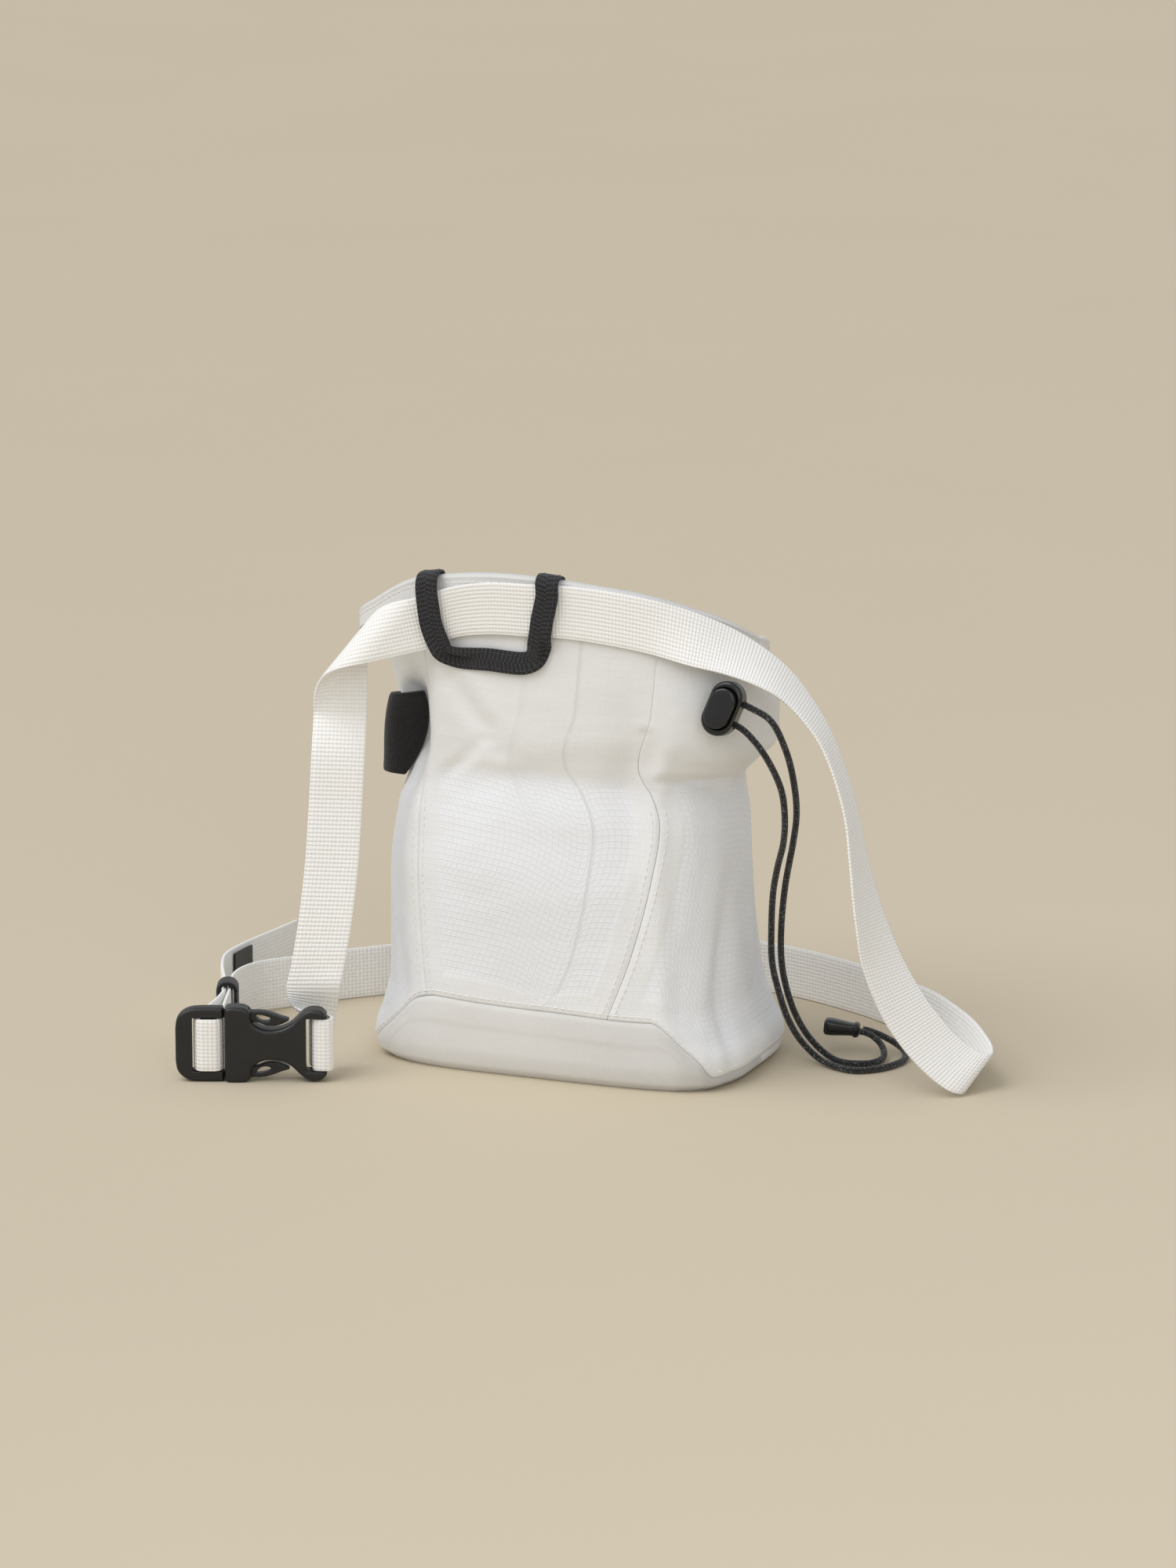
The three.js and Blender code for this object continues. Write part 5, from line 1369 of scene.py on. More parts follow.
def wall_panel(name, rows, cols, start_seam, end_seam):
    """A wall panel between two seams, from the base panel's edge to the rim hoop."""
    bag = bag_sizes()
    up = eased(rows)[:, None]
    round_ = eased(cols)[None, :]
    lowest = SEAMS["level"][0]
    foot = start_seam(lowest) + (end_seam(lowest) - start_seam(lowest)) * round_
    head = start_seam(2.0) + (end_seam(2.0) - start_seam(2.0)) * round_
    bottom = base_edge(foot) + half_gap()
    free = bag.hoop_height + bag.seam_gap
    top = 2 - free / (rim_height(head) - bag.neck)
    level = bottom + (top - bottom) * up
    start = start_seam(np.maximum(level, lowest))
    turn = start + (end_seam(np.maximum(level, lowest)) - start) * round_
    plain = shell(turn, level)
    across, along = steps_along(plain, 1), steps_along(plain, 0)
    to_seam = np.minimum(np.minimum(across, across[:, -1:] - across), along)
    below_neck = 1 - 0.8 * ramp(level, 0.9, 1.1)
    lift = seam_shape(to_seam) * below_neck + crumple_lift(turn, level)
    strip_share = 1 - ramp(to_seam, bag.seam_strip - 1.8, bag.seam_strip + 1.2)
    collar = ramp(level, 1.0, 1.1)
    doubled = np.maximum(0.75 * strip_share, collar)
    return cloth(
        name, shell(turn, level, lift), shell(turn, level, lift - bag.cloth), plain,
        attributes={"doubled": doubled},
    )


def make_panels():
    gap = bag_sizes().seam_gap / 2
    front = wall_panel(
        "Front_panel", 200, 150,
        lambda level: seam_turn("left", level, gap),
        lambda level: seam_turn("right", level, -gap),
    )
    finish_piece(front, ripstop(), ["front_panel"])
    wrap = wall_panel(
        "Wrap_panel", 150, 300,
        lambda level: seam_turn("right", level, gap),
        lambda level: seam_turn("left", level, -gap) + 360,
    )
    finish_piece(wrap, ripstop(), ["wrap_panel"])
    finish_piece(make_base(), twill(), ["base_panel"])


def make_base():
    """The base is a shallow tray whose front wall stands higher."""
    bag = bag_sizes()
    turn = np.arange(420) / 420 * 360
    edge = shell(turn, np.zeros_like(turn))
    outer, inner, flat = [], [], []
    for share in (0.0, 0.25, 0.5, 0.7, 0.8, 0.88, 0.94, 0.975):
        ring = edge * share
        ring[:, 2] = 0
        outer.append(ring)
        flat.append(ring)
        ring = ring.copy()
        ring[:, 2] = bag.base_cloth
        inner.append(ring)
    top = base_edge(turn) - half_gap()
    for share in eased(46, 0.3):
        level = top * share
        to_edge = (top - level) * bag.neck
        lift = crumple_lift(turn, level) * ramp(share, 0.1, 0.5) + seam_shape(to_edge) * ramp(share, 0.1, 0.3)
        outer.append(shell(turn, level, lift))
        flat.append(shell(turn, level))
        ring = shell(turn, level, lift - bag.base_cloth)
        ring[:, 2] = np.maximum(ring[:, 2], bag.base_cloth + share * bag.cloth)
        inner.append(ring)
    grids = [np.array(grid) for grid in (outer, inner, flat)]
    return cloth("Base_panel", *grids, closed=True, pole=True)


# Half width of the rim band below its hoop, as a share of the hoop's radius
RIM_WAIST = 0.92


def make_rim():
    """The rim: cloth sewn round a stiff hoop, with a flat skirt below the stitches."""
    bag = bag_sizes()
    half = bag.hoop_thickness / 2
    waist = RIM_WAIST * half
    turns = np.arange(360) / 360 * 360
    arc = np.radians(np.linspace(-23, 203, 26))
    hoop = [(half * math.cos(a), bag.hoop_height - half + half * math.sin(a)) for a in arc]
    skirt = [0.0, 0.05, 0.5, 1.2, 2.2, 3.2, 4.0]
    left = [(-waist, up) for up in reversed(skirt)]
    right = [(waist, up) for up in skirt]
    profile = [*hoop, *left, *right]
    level = 2 - (bag.hoop_height / 2) / (rim_height(turns) - bag.neck)
    wobble = 0.4 * crumple_lift(turns, level)
    rings = []
    for out, up in profile:
        ring = shell(turns, level, out - bag.cloth / 2 + wobble)
        ring[:, 2] = rim_height(turns) - bag.hoop_height + up
        rings.append(ring)
    rings = np.stack(rings, 1)
    return swept("Rim_band", rings, True)


# The label on the free end: its start and end as shares of that end, and its share of the width
LABEL = SimpleNamespace(start=0.42, end=0.60, width=0.84)


def make_belt():
    lines = belt_lines()
    belt = belt_sizes()
    finish_piece(strip("Belt", lines, belt.thickness), webbing(), ["belt"])
    tail = [cross_line(body_point(*row), UP, LABEL.width * belt.width) for row in TAIL]
    tail = smooth_lines(tail, 0.8)
    piece = tail[round(LABEL.start * len(tail)) : round(LABEL.end * len(tail)) + 1]
    offset = belt.thickness / 2 + bag_sizes().clearance + belt.label / 2
    label = strip("Belt_label", piece, belt.label, offset)
    finish_piece(label, label_cloth(), ["belt_label"])
    finish_piece(make_keeper(), elastic(), ["belt_keeper"])


# Radius of the keeper's bends and its room round the belt, in millimetres
KEEPER_BEND = 2.4
KEEPER_EASE = 0.4


def make_keeper():
    """A ring of elastic round both layers of the belt."""
    bag, belt = bag_sizes(), belt_sizes()
    inner_x = belt.thickness * (PLUG_LOOP[0][0] - PLUG_LOOP[-1][0] + 1) / 2 + bag.clearance
    inner_z = belt.width / 2 + bag.clearance
    half_wall = belt.keeper_wall / 2
    radius = min(inner_x, KEEPER_BEND)
    corner = KEEPER_EASE - radius
    corners = ((1, 1, 0), (-1, 1, 90), (-1, -1, 180), (1, -1, 270))
    path = []
    for sx, sz, first in corners:
        for angle in np.radians(np.linspace(first, first + 90, 9)):
            out = np.array([math.cos(angle), math.sin(angle)])
            centre = np.array([sx * (inner_x + corner), sz * (inner_z + corner)])
            path.append((centre + out * radius, out))
    turns = np.arange(28) / 28 * 2 * math.pi
    wave = np.sign(np.sin(turns)) * np.abs(np.sin(turns)) ** 0.5
    y = np.sign(np.cos(turns)) * np.abs(np.cos(turns)) ** 0.35 * belt.keeper_length / 2
    rings = []
    for place, out in path:
        flat = place + np.outer(half_wall * (1 + wave), out)
        rings.append(np.stack([flat[:, 0], y, flat[:, 1]], -1))
    rings = np.array(rings)
    between_layers = (PLUG_LOOP[0][0] + PLUG_LOOP[-1][0]) / 2
    behind_plug = (PLUG_LOOP[0][1] + PLUG_LOOP[1][1]) / 2
    middle = plug_loop_point(between_layers, behind_plug)
    turn = Matrix.Rotation(math.radians(BUCKLE_HEADING), 3, "Z")
    rings = rings @ np.array(turn).T + middle
    return swept("Belt_keeper", rings, True)


# The brush sleeve between two turns and two levels of the wall, leaning round it as it rises,
# with its room at the ends and the bow of its middle in millimetres
SLEEVE_EASE = 0.4
SLEEVE_BOW = 0.6
SLEEVE = SimpleNamespace(from_turn=180, to_turn=199, low=0.95, high=1.45, lean=22)


def make_tapes():
    bag, belt = bag_sizes(), belt_sizes()
    loop = strip("Belt_loop", loop_lines(), belt.tape)
    finish_piece(loop, black_tape(), ["belt_loop"])
    lines = []
    for share in np.linspace(0, 1, 90):
        turn = SLEEVE.from_turn + (SLEEVE.to_turn - SLEEVE.from_turn) * share
        rise = SLEEVE_EASE + belt.sleeve_rise * max(math.sin(math.pi * share), 0) ** 0.6
        lift = bag.clearance + belt.sleeve / 2 + rise
        low = shell(turn, SLEEVE.low, lift)
        middle = shell(turn + SLEEVE.lean / 2, (SLEEVE.low + SLEEVE.high) / 2, lift + SLEEVE_BOW)
        high = shell(turn + SLEEVE.lean, SLEEVE.high, lift)
        t = eased(50, 0.5)[:, None]
        lines.append(low * (1 - t) * (1 - 2 * t) + middle * 4 * t * (1 - t) + high * t * (2 * t - 1))
    sleeve = strip("Brush_sleeve", np.array(lines), belt.sleeve)
    finish_piece(sleeve, elastic(), ["brush_sleeve"])


# Upper edges of the buckle's halves: x as a share of its length, z of half its height
SOCKET_EDGE = (
    (-0.175, 0.930),
    (-0.160, 1.000),
    (-0.040, 1.000),
    (-0.002, 0.880),
    (0.004, 0.640),
    (0.055, 0.470),
    (0.120, 0.400),
    (0.200, 0.440),
    (0.265, 0.570),
    (0.315, 0.760),
    (0.360, 0.910),
    (0.410, 0.960),
    (0.465, 0.930),
    (0.500, 0.800),
)
PLUG_EDGE = (
    (-0.500, 0.450),
    (-0.488, 0.700),
    (-0.450, 0.880),
    (-0.395, 0.975),
    (-0.330, 1.000),
    (-0.182, 1.000),
)
PRONG_EDGE = (
    (-0.125, 0.880),
    (0.020, 0.895),
    (0.080, 0.890),
    (0.140, 0.830),
    (0.200, 0.740),
    (0.255, 0.660),
    (0.215, 0.560),
    (0.160, 0.490),
    (0.100, 0.500),
    (0.045, 0.590),
    (0.000, 0.600),
    (-0.125, 0.600),
)
PRONG_WINDOW = (
    (0.030, 0.780),
    (0.075, 0.780),
    (0.135, 0.680),
    (0.110, 0.610),
    (0.060, 0.640),
)
# Depth of the socket's mouth, room round the plug's yoke, the socket's slot, the plug's bar, its
# window and its outer side, in millimetres
MOUTH_DEPTH = 5.2
YOKE_CLEARANCE = 0.4
SOCKET_SLOT = 4.2
PLUG_BAR_WIDTH = 6.4
PLUG_WINDOW = 13
PLUG_SIDE = 6.2


def edge_points(rows):
    hard = hardware()
    return [(x * hard.buckle_length, z * hard.buckle_height / 2) for x, z in rows]


def mirrored(rows):
    """A whole outline from its upper edge, smoothed."""
    upper = edge_points(rows)
    return [*smooth_outline(upper), *[(x, -z) for x, z in reversed(smooth_outline(upper))]]


def smooth_outline(points, closed=False):
    flat = [np.array([x, z, 0.0]) for x, z in points]
    if closed:
        wrapped = [flat[-1], *flat, flat[0], flat[1]]
        path = smooth_path(wrapped, 0.8)
        start = np.argmin(np.linalg.norm(path - flat[0], axis=1))
        end = len(path) - 1 - np.argmin(np.linalg.norm(path[::-1] - flat[0], axis=1))
        return [(p[0], p[1]) for p in path[start:end]]
    return [(p[0], p[1]) for p in smooth_path(flat, 0.8)]


def plate(name, outline, thickness, bevel):
    """A plate standing in the buckle's x and z with rounded edges, as a mesh in millimetres."""
    work = bmesh.new()
    front = [work.verts.new((x, -thickness / 2, z)) for x, z in outline]
    face = work.faces.new(front)
    made = bmesh.ops.extrude_face_region(work, geom=[face])
    moved = [item for item in made["geom"] if isinstance(item, bmesh.types.BMVert)]
    bmesh.ops.translate(work, verts=moved, vec=(0, thickness, 0))
    bmesh.ops.recalc_face_normals(work, faces=work.faces)
    if bevel:
        rims = [e for e in work.edges if abs(e.verts[0].co.y - e.verts[1].co.y) < 1e-6]
        bmesh.ops.bevel(work, geom=rims, offset=bevel, segments=3, profile=0.5, affect="EDGES")
    mesh = bpy.data.meshes.new(name)
    work.to_mesh(mesh)
    work.free()
    return make_object(name, mesh)


def block(from_x, to_x, half_y, from_z, to_z):
    outline = [(from_x, from_z), (to_x, from_z), (to_x, to_z), (from_x, to_z)]
    return plate("Block", outline, 2 * half_y, 0)


def combine(obj, operation, tools):
    """Joins or cuts with other closed meshes, which are then removed."""
    for tool in tools:
        change = obj.modifiers.new("Cut", "BOOLEAN")
        change.operation = operation
        change.solver = "EXACT"
        change.object = tool
        bake_modifiers(obj)
        mesh = tool.data
        bpy.data.objects.remove(tool)
        bpy.data.meshes.remove(mesh)


def bake_modifiers(obj):
    bpy.context.view_layer.update()
    evaluated = obj.evaluated_get(bpy.context.evaluated_depsgraph_get())
    mesh = bpy.data.meshes.new_from_object(evaluated)
    obj.modifiers.clear()
    old = obj.data
    name = old.name
    obj.data = mesh
    bpy.data.meshes.remove(old)
    mesh.name = name


def mould(obj, name, step, matrix, rounds=6):
    """Turns a sharp body in millimetres into a softly rounded moulding at its place."""
    remesh = obj.modifiers.new("Remesh", "REMESH")
    remesh.mode = "VOXEL"
    remesh.voxel_size = step
    smooth = obj.modifiers.new("Smooth", "CORRECTIVE_SMOOTH")
    smooth.iterations = rounds
    smooth.factor = 0.5
    smooth.use_only_smooth = True
    smooth.use_pin_boundary = False
    bake_modifiers(obj)
    obj.data.transform(Matrix.Scale(MM, 4) @ matrix)
    obj.data.shade_smooth()
    obj.name = obj.data.name = name
    return obj


def channel_half():
    return hardware().buckle_thickness / 2 - 2


def make_socket():
    hard = hardware()
    slot = belt_sizes().width / 2 + bag_sizes().clearance
    inner = hard.buckle_height / 2 - hard.buckle_wall
    body = plate("Buckle_socket", mirrored(SOCKET_EDGE), hard.buckle_thickness, 1.3)
    bar_left = hard.buckle_length / 2 - SOCKET_BAR_WIDTH
    slot_cut = block(bar_left - SOCKET_SLOT, hard.buckle_length, hard.buckle_thickness, -slot, slot)
    combine(body, "DIFFERENCE", [slot_cut])
    outer_end = hard.buckle_length / 2
    combine(body, "UNION", [block(bar_left, outer_end, hard.bar_thickness / 2, -slot - 1, slot + 1)])
    mouth = SOCKET_EDGE[0][0] * hard.buckle_length
    foot = PRONG_EDGE[-1][1] * hard.buckle_height / 2 - YOKE_CLEARANCE
    cuts = [
        block(mouth - 1, mouth + MOUTH_DEPTH, channel_half(), -inner, inner),
        block(mouth, 1, channel_half(), foot, inner),
        block(mouth, 1, channel_half(), -inner, -foot),
    ]
    combine(body, "DIFFERENCE", cuts)
    return mould(body, "Buckle_socket", hard.moulding, buckle_matrix())


def make_plug():
    hard = hardware()
    slot = belt_sizes().width / 2 + bag_sizes().clearance
    yoke_half = channel_half() - YOKE_CLEARANCE
    yoke_height = hard.buckle_height / 2 - hard.buckle_wall - YOKE_CLEARANCE
    mouth = SOCKET_EDGE[0][0] * hard.buckle_length
    body = plate("Buckle_plug", mirrored(PLUG_EDGE), hard.frame_thickness, 1.2)
    yoke_end = mouth + MOUTH_DEPTH - YOKE_CLEARANCE
    combine(body, "UNION", [block(mouth - 4, yoke_end, yoke_half, -yoke_height, yoke_height)])
    left = -hard.buckle_length / 2 + PLUG_SIDE
    window = block(left, left + PLUG_WINDOW, hard.buckle_thickness, -slot, slot)
    combine(body, "DIFFERENCE", [window])
    half_bar = PLUG_BAR_WIDTH / 2
    bar = block(plug_bar() - half_bar, plug_bar() + half_bar, hard.bar_thickness / 2, -slot - 1, slot + 1)
    combine(body, "UNION", [bar])
    for flip in (1, -1):
        outline = [(x, flip * z) for x, z in smooth_outline(edge_points(PRONG_EDGE), True)]
        hole = [(x, flip * z) for x, z in smooth_outline(edge_points(PRONG_WINDOW), True)]
        prong = plate("Prong", outline, 2 * yoke_half, 0)
        combine(prong, "DIFFERENCE", [plate("Hole", hole, hard.buckle_thickness, 0)])
        combine(body, "UNION", [prong])
    return mould(body, "Buckle_plug", hard.moulding, buckle_matrix())


def make_buckle():
    finish_piece(make_socket(), buckle_plastic(), ["buckle_socket"])
    finish_piece(make_plug(), buckle_plastic(), ["buckle_plug"])


def oval_rings(levels):
    """Rings of an oval post: each level gives width, length and height."""
    turns = np.arange(96) / 96 * 2 * math.pi
    rings = []
    for width, long, z in levels:
        radius = width / 2
        straight = max(long / 2 - radius, 0)
        x = radius * np.cos(turns)
        y = radius * np.sin(turns) + np.sign(np.sin(turns)) * straight
        rings.append(np.stack([x, y, np.full(len(turns), z)], -1))
    return np.array(rings)


def oval_post(name, width, long, low, high, edge, dome=0.0):
    """An oval post with round edges, in millimetres."""
    levels = []
    for angle in np.radians(np.linspace(0, 90, 5)):
        inset = edge * (1 - math.sin(angle))
        levels.append((width - 2 * inset, long - 2 * inset, low + edge * (1 - math.cos(angle))))
    for angle in np.radians(np.linspace(90, 0, 7)):
        inset = edge * (1 - math.sin(angle))
        levels.append((width - 2 * inset, long - 2 * inset, high - edge * (1 - math.cos(angle))))
    for share in (0.75, 0.5, 0.25):
        flat = width - 2 * edge
        levels.append((flat * share, long - 2 * edge - flat * (1 - share), high + dome * (1 - share**2)))
    obj = swept(name, oval_rings(levels), False)
    obj.data.transform(Matrix.Scale(1 / MM, 4))
    return obj


LOCK_MOULDING = 0.2
BUTTON_DOME = 0.35


def make_cord_lock():
    bag, hard = bag_sizes(), hardware()
    body_top = hard.lock_thickness - hard.button_proud
    pocket_floor = hard.cord_level + hard.cord / 2
    gap = 2 * bag.clearance
    body = oval_post("Cord_lock_body", hard.lock_width, hard.lock_length, 0, body_top, 1.4)
    pocket = oval_post(
        "Pocket", hard.button_width + gap, hard.button_length + gap, pocket_floor, hard.lock_thickness, 0.01
    )
    combine(body, "DIFFERENCE", [pocket])
    for side in (-1, 1):
        bore_radius = hard.cord / 2 + bag.clearance
        y = side * hard.cord_spacing / 2
        path = np.array([[x, y, hard.cord_level] for x in (0.0, hard.lock_width / 2, hard.lock_width)])
        bore = swept("Bore", tube_rings(path, bore_radius, 40), False)
        bore.data.transform(Matrix.Scale(1 / MM, 4))
        combine(body, "DIFFERENCE", [bore])
    body = mould(body, "Cord_lock_body", LOCK_MOULDING, lock_matrix(), 4)
    finish_piece(body, lock_plastic(), ["cord_lock_body"])
    foot = pocket_floor + hard.lock_travel + bag.clearance
    top = hard.lock_thickness - BUTTON_DOME
    size = (hard.button_width, hard.button_length)
    button = oval_post("Cord_lock_button", *size, foot, top, 0.8, BUTTON_DOME)
    button = mould(button, "Cord_lock_button", LOCK_MOULDING, lock_matrix(), 4)
    finish_piece(button, lock_plastic(), ["cord_lock_button"], "button")


def stitch_tree():
    """Geometry nodes that lay stitches along curves."""
    tree = bpy.data.node_groups.new("Stitches", "GeometryNodeTree")
    face = tree.interface
    face.new_socket("Geometry", in_out="INPUT", socket_type="NodeSocketGeometry")
    for name in ("Stitch Length", "Gap", "Thread"):
        socket = face.new_socket(name, in_out="INPUT", socket_type="NodeSocketFloat")
        socket.subtype = "DISTANCE"
    face.new_socket("Material", in_out="INPUT", socket_type="NodeSocketMaterial")
    face.new_socket("Geometry", in_out="OUTPUT", socket_type="NodeSocketGeometry")
    nodes, links = tree.nodes, tree.links

    def add(kind, **settings):
        node = nodes.new(kind)
        for key, value in settings.items():
            setattr(node, key, value)
        return node

    start, end = add("NodeGroupInput"), add("NodeGroupOutput")
    pitch = add("ShaderNodeMath", operation="ADD")
    links.new(start.outputs["Stitch Length"], pitch.inputs[0])
    links.new(start.outputs["Gap"], pitch.inputs[1])
    resample = add("GeometryNodeResampleCurve", mode="LENGTH")
    links.new(start.outputs["Geometry"], resample.inputs["Curve"])
    links.new(pitch.outputs[0], resample.inputs["Length"])
    ball = add("GeometryNodeMeshUVSphere")
    ball.inputs["Segments"].default_value = 7
    ball.inputs["Rings"].default_value = 6
    ball.inputs["Radius"].default_value = 0.5
    size = add("ShaderNodeCombineXYZ")
    links.new(start.outputs["Thread"], size.inputs[0])
    links.new(start.outputs["Thread"], size.inputs[1])
    links.new(start.outputs["Stitch Length"], size.inputs[2])
    tangent = add("GeometryNodeInputTangent")
    align = add("FunctionNodeAlignRotationToVector", axis="Z")
    links.new(tangent.outputs[0], align.inputs["Vector"])
    lay = add("GeometryNodeInstanceOnPoints")
    links.new(resample.outputs[0], lay.inputs["Points"])
    links.new(ball.outputs["Mesh"], lay.inputs["Instance"])
    links.new(align.outputs[0], lay.inputs["Rotation"])
    links.new(size.outputs[0], lay.inputs["Scale"])
    real = add("GeometryNodeRealizeInstances")
    links.new(lay.outputs[0], real.inputs[0])
    paint = add("GeometryNodeSetMaterial")
    links.new(real.outputs[0], paint.inputs["Geometry"])
    links.new(start.outputs["Material"], paint.inputs["Material"])
    links.new(paint.outputs[0], end.inputs[0])
    return tree


def stitch_rows(name, paths, dark, stitch=None):
    """Stitches along paths in millimetres, as one plain mesh."""
    belt = belt_sizes()
    curve = bpy.data.curves.new(name, "CURVE")
    curve.dimensions = "3D"
    for path in paths:
        spline = curve.splines.new("POLY")
        spline.points.add(len(path) - 1)
        for point, place in zip(spline.points, path):
            point.co = (*(place * MM), 1)
    work = make_object(name, curve)
    tree = bpy.data.node_groups.get("Stitches") or stitch_tree()
    modifier = work.modifiers.new("Stitches", "NODES")
    modifier.node_group = tree
    values = {
        "Stitch Length": (stitch or belt.stitch) * MM,
        "Gap": belt.stitch_gap * MM,
        "Thread": belt.thread * MM,
        "Material": thread(dark),
    }
    for item in tree.interface.items_tree:
        if item.in_out == "INPUT" and item.name in values:
            modifier[item.identifier] = values[item.name]
    bpy.context.view_layer.update()
    evaluated = work.evaluated_get(bpy.context.evaluated_depsgraph_get())
    mesh = bpy.data.meshes.new_from_object(evaluated)
    bpy.data.objects.remove(work)
    bpy.data.curves.remove(curve)
    mesh.shade_smooth()
    mesh.name = name
    obj = make_object(name, mesh)
    obj.data.materials.clear()
    obj.data.materials.append(thread(dark))
    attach(obj, "bag")
    return obj


def on_wall(turn, level, beside):
    """Points on the wall cloth where a row of stitches lies, beside a seam by a distance."""
    return shell(turn, level, crumple_lift(turn, level) + seam_shape(beside) + 0.08)


def make_stitches():
    bag, belt = bag_sizes(), belt_sizes()
    rows = []
    level = np.linspace(0.26, 0.94, 160)
    for side, shift in (("left", -1), ("left", 1), ("right", -1), ("right", 1)):
        turn = seam_turn(side, level, shift * SEAM_STITCH)
        keep = level > base_edge(turn) + 0.03
        rows.append(on_wall(turn[keep], level[keep], SEAM_STITCH))
    turn = np.linspace(0, 360, 900)
    level = base_edge(turn) + BASE_STITCH / bag.neck
    rows.append(on_wall(turn, level, BASE_STITCH))
    stitch_rows("Wall_stitches", rows, False)
    level = 2 - (bag.hoop_height / 2) / (rim_height(turn) - bag.neck)
    out = RIM_WAIST * bag.hoop_thickness / 2 - bag.cloth / 2 + 0.05
    rim_row = shell(turn, level, out + 0.4 * crumple_lift(turn, level))
    rim_row[:, 2] = rim_height(turn) - bag.hoop_height + 4.6
    stitch_rows("Rim_stitches", [rim_row], False)
    lines = loop_lines()
    front = lines - grid_normals(lines) * -(belt.tape / 2)
    across = ACROSS * belt.tape_width
    tape_rows = []
    for inset in (1.3, belt.tape_width - 1.3):
        k = int(np.argmin(np.abs(across - inset)))
        tape_rows.append(front[8:-8, k])
    stitch_rows("Tape_stitches", tape_rows, True, 1.8)


def area_light(name, place, aim, size, power, tint):
    data = bpy.data.lights.new(name, "AREA")
    data.shape = "RECTANGLE"
    data.size, data.size_y = size
    data.energy = power
    data.color = tint
    lamp = bpy.data.objects.new(name, data)
    bpy.context.scene.collection.objects.link(lamp)
    lamp.location = place
    lamp.rotation_euler = (Vector(aim) - Vector(place)).to_track_quat("-Z", "Y").to_euler()


def make_stage():
    scene = bpy.context.scene
    ring = np.arange(64) / 64 * 2 * math.pi
    points = [(9 * math.cos(a), 9 * math.sin(a), 0.0) for a in ring]
    mesh = bpy.data.meshes.new("Floor")
    mesh.from_pydata(points, [], [list(range(64))])
    floor = make_object("Floor", mesh)
    floor.data.materials.append(floor_paper())
    sun = bpy.data.lights.new("Window", "SUN")
    sun.energy = 1.7
    sun.angle = math.radians(50)
    lamp = bpy.data.objects.new("Window", sun)
    scene.collection.objects.link(lamp)
    lamp.rotation_euler = Vector((0.5, 0.5, -1.0)).to_track_quat("-Z", "Y").to_euler()
    area_light("Softbox", (0.8, -1.3, 1.0), (0.0, 0.0, 0.1), (0.9, 0.9), 5.0, (1.0, 1.0, 1.0))
    world = bpy.data.worlds.new("Studio")
    world.use_nodes = True
    background = world.node_tree.nodes["Background"]
    background.inputs["Color"].default_value = (0.97, 0.985, 1.0, 1.0)
    background.inputs["Strength"].default_value = 0.54
    scene.world = world
    scene.view_settings.view_transform = "Standard"


def start():
    """Forgets sizes and points worked out for an earlier set of values."""
    for kept in (millimetres, belt_lines, belt_front, loop_lines, lock_matrix):
        kept.cache_clear()


class CHALKBAG_OT_camera(bpy.types.Operator):
    """Place the camera as the photograph was taken"""

    bl_idname = "chalkbag.camera"
    bl_label = "Camera"

    def execute(self, context):
        start()
        make_camera()
        return {"FINISHED"}


class CHALKBAG_OT_drawcord(bpy.types.Operator):
    """Make both strands of the drawcord and their end piece"""

    bl_idname = "chalkbag.drawcord"
    bl_label = "Drawcord"

    def execute(self, context):
        start()
        make_drawcord()
        return {"FINISHED"}


class CHALKBAG_OT_panels(bpy.types.Operator):
    """Make the front, wrap and base panels"""

    bl_idname = "chalkbag.panels"
    bl_label = "Panels"

    def execute(self, context):
        start()
        make_panels()
        return {"FINISHED"}


class CHALKBAG_OT_rim(bpy.types.Operator):
    """Make the sewn rim with its hoop"""

    bl_idname = "chalkbag.rim"
    bl_label = "Rim"

    def execute(self, context):
        start()
        finish_piece(make_rim(), twill(), ["rim_band"])
        return {"FINISHED"}


class CHALKBAG_OT_belt(bpy.types.Operator):
    """Make the waist belt, its label and its keeper"""

    bl_idname = "chalkbag.belt"
    bl_label = "Belt"

    def execute(self, context):
        start()
        make_belt()
        return {"FINISHED"}


class CHALKBAG_OT_tapes(bpy.types.Operator):
    """Make the tape that holds the belt and the brush sleeve"""

    bl_idname = "chalkbag.tapes"
    bl_label = "Tapes"

    def execute(self, context):
        start()
        make_tapes()
        return {"FINISHED"}


class CHALKBAG_OT_buckle(bpy.types.Operator):
    """Make both halves of the side-release buckle"""

    bl_idname = "chalkbag.buckle"
    bl_label = "Buckle"

    def execute(self, context):
        start()
        make_buckle()
        return {"FINISHED"}


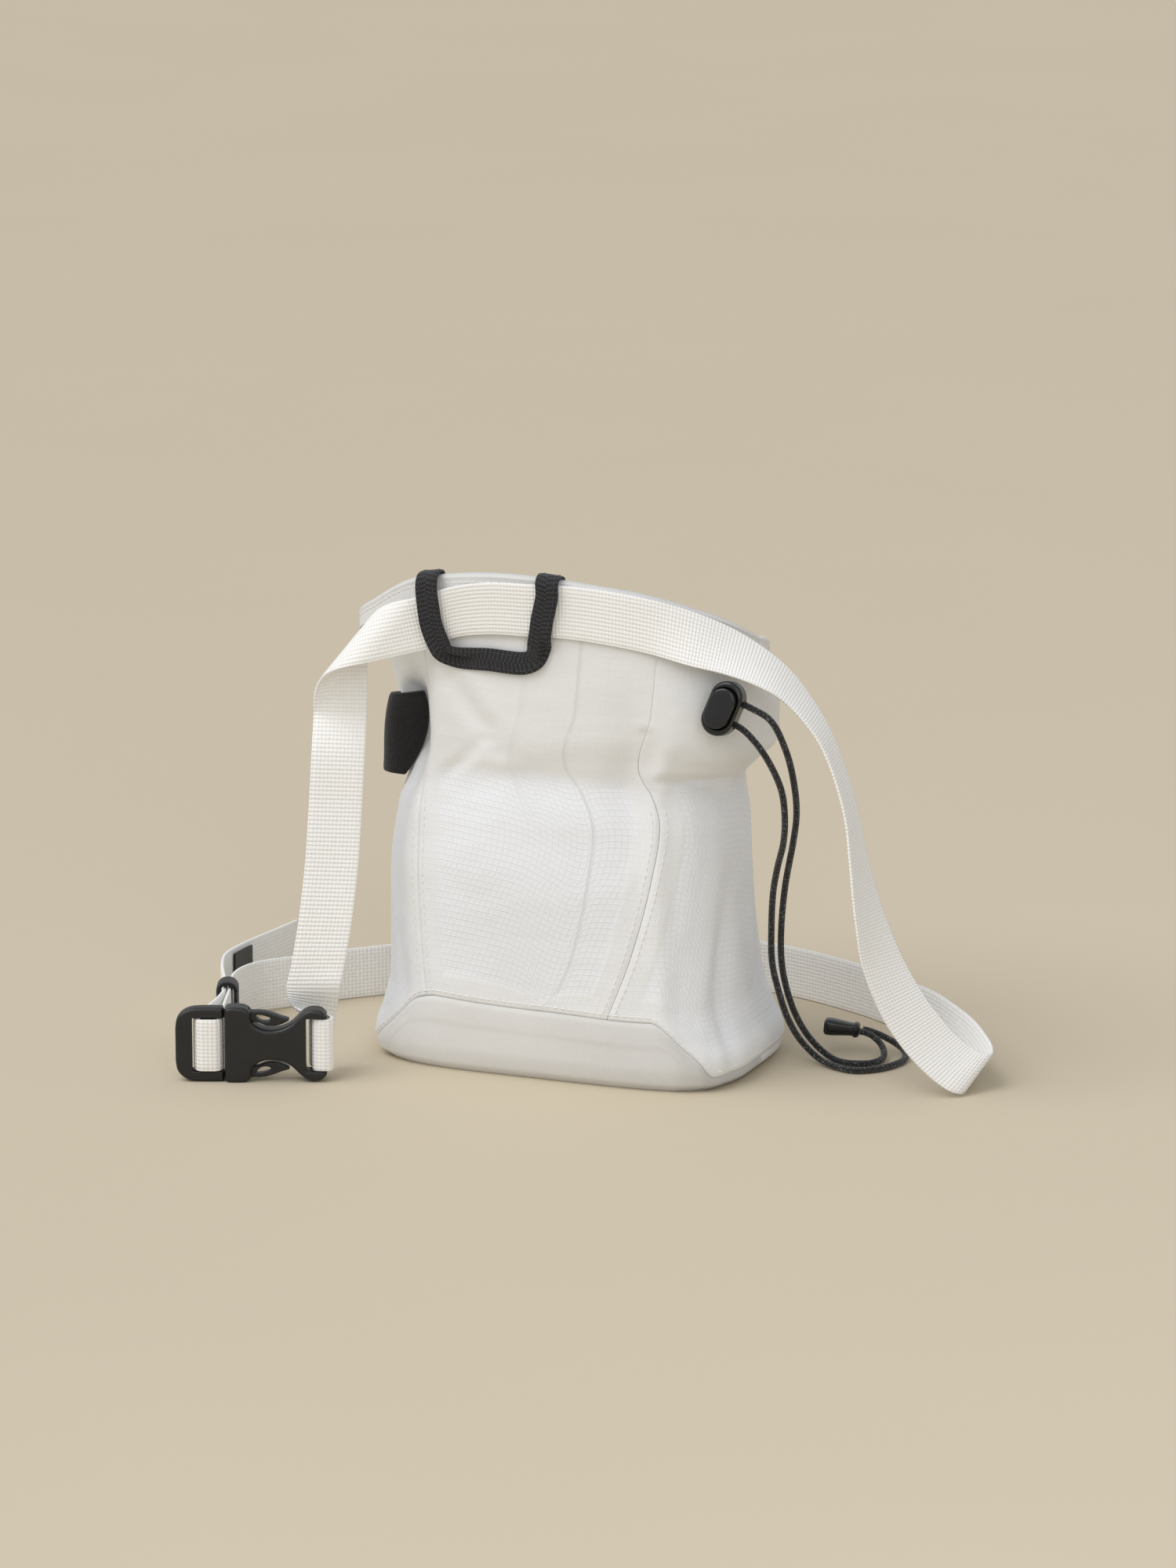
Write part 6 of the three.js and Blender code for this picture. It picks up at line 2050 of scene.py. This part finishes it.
class CHALKBAG_OT_cord_lock(bpy.types.Operator):
    """Make the cord lock and its button"""

    bl_idname = "chalkbag.cord_lock"
    bl_label = "Cord Lock"

    def execute(self, context):
        start()
        make_cord_lock()
        return {"FINISHED"}


class CHALKBAG_OT_stitches(bpy.types.Operator):
    """Lay the stitches along the seams, the rim and the tape"""

    bl_idname = "chalkbag.stitches"
    bl_label = "Stitches"

    def execute(self, context):
        start()
        make_stitches()
        return {"FINISHED"}


class CHALKBAG_OT_stage(bpy.types.Operator):
    """Make the floor and the lights"""

    bl_idname = "chalkbag.stage"
    bl_label = "Stage"

    def execute(self, context):
        start()
        make_stage()
        return {"FINISHED"}


OPERATORS = (
    CHALKBAG_OT_camera,
    CHALKBAG_OT_drawcord,
    CHALKBAG_OT_panels,
    CHALKBAG_OT_rim,
    CHALKBAG_OT_belt,
    CHALKBAG_OT_tapes,
    CHALKBAG_OT_buckle,
    CHALKBAG_OT_cord_lock,
    CHALKBAG_OT_stitches,
    CHALKBAG_OT_stage,
)


class CHALKBAG_PT_maker(bpy.types.Panel):
    """Sizes, finishes and makers of the chalk bag"""

    bl_label = "Chalk Bag"
    bl_idname = "CHALKBAG_PT_maker"
    bl_space_type = "VIEW_3D"
    bl_region_type = "UI"
    bl_category = "Chalk Bag"

    def draw(self, context):
        for group in GROUPS:
            box = self.layout.box()
            for key in GROUPS[group].__annotations__:
                box.prop(getattr(context.scene, group), key)
        for operator in OPERATORS:
            self.layout.operator(operator.bl_idname)


CLASSES = (*GROUPS.values(), *OPERATORS, CHALKBAG_PT_maker)


def register():
    for item in CLASSES:
        bpy.utils.register_class(item)
    for name, group in GROUPS.items():
        setattr(bpy.types.Scene, name, PointerProperty(type=group))


def unregister():
    for name in GROUPS:
        delattr(bpy.types.Scene, name)
    for item in reversed(CLASSES):
        bpy.utils.unregister_class(item)


def main():
    register()
    for operator in OPERATORS:
        getattr(bpy.ops.chalkbag, operator.bl_idname.split(".")[1])()


if __name__ == "__main__":
    main()
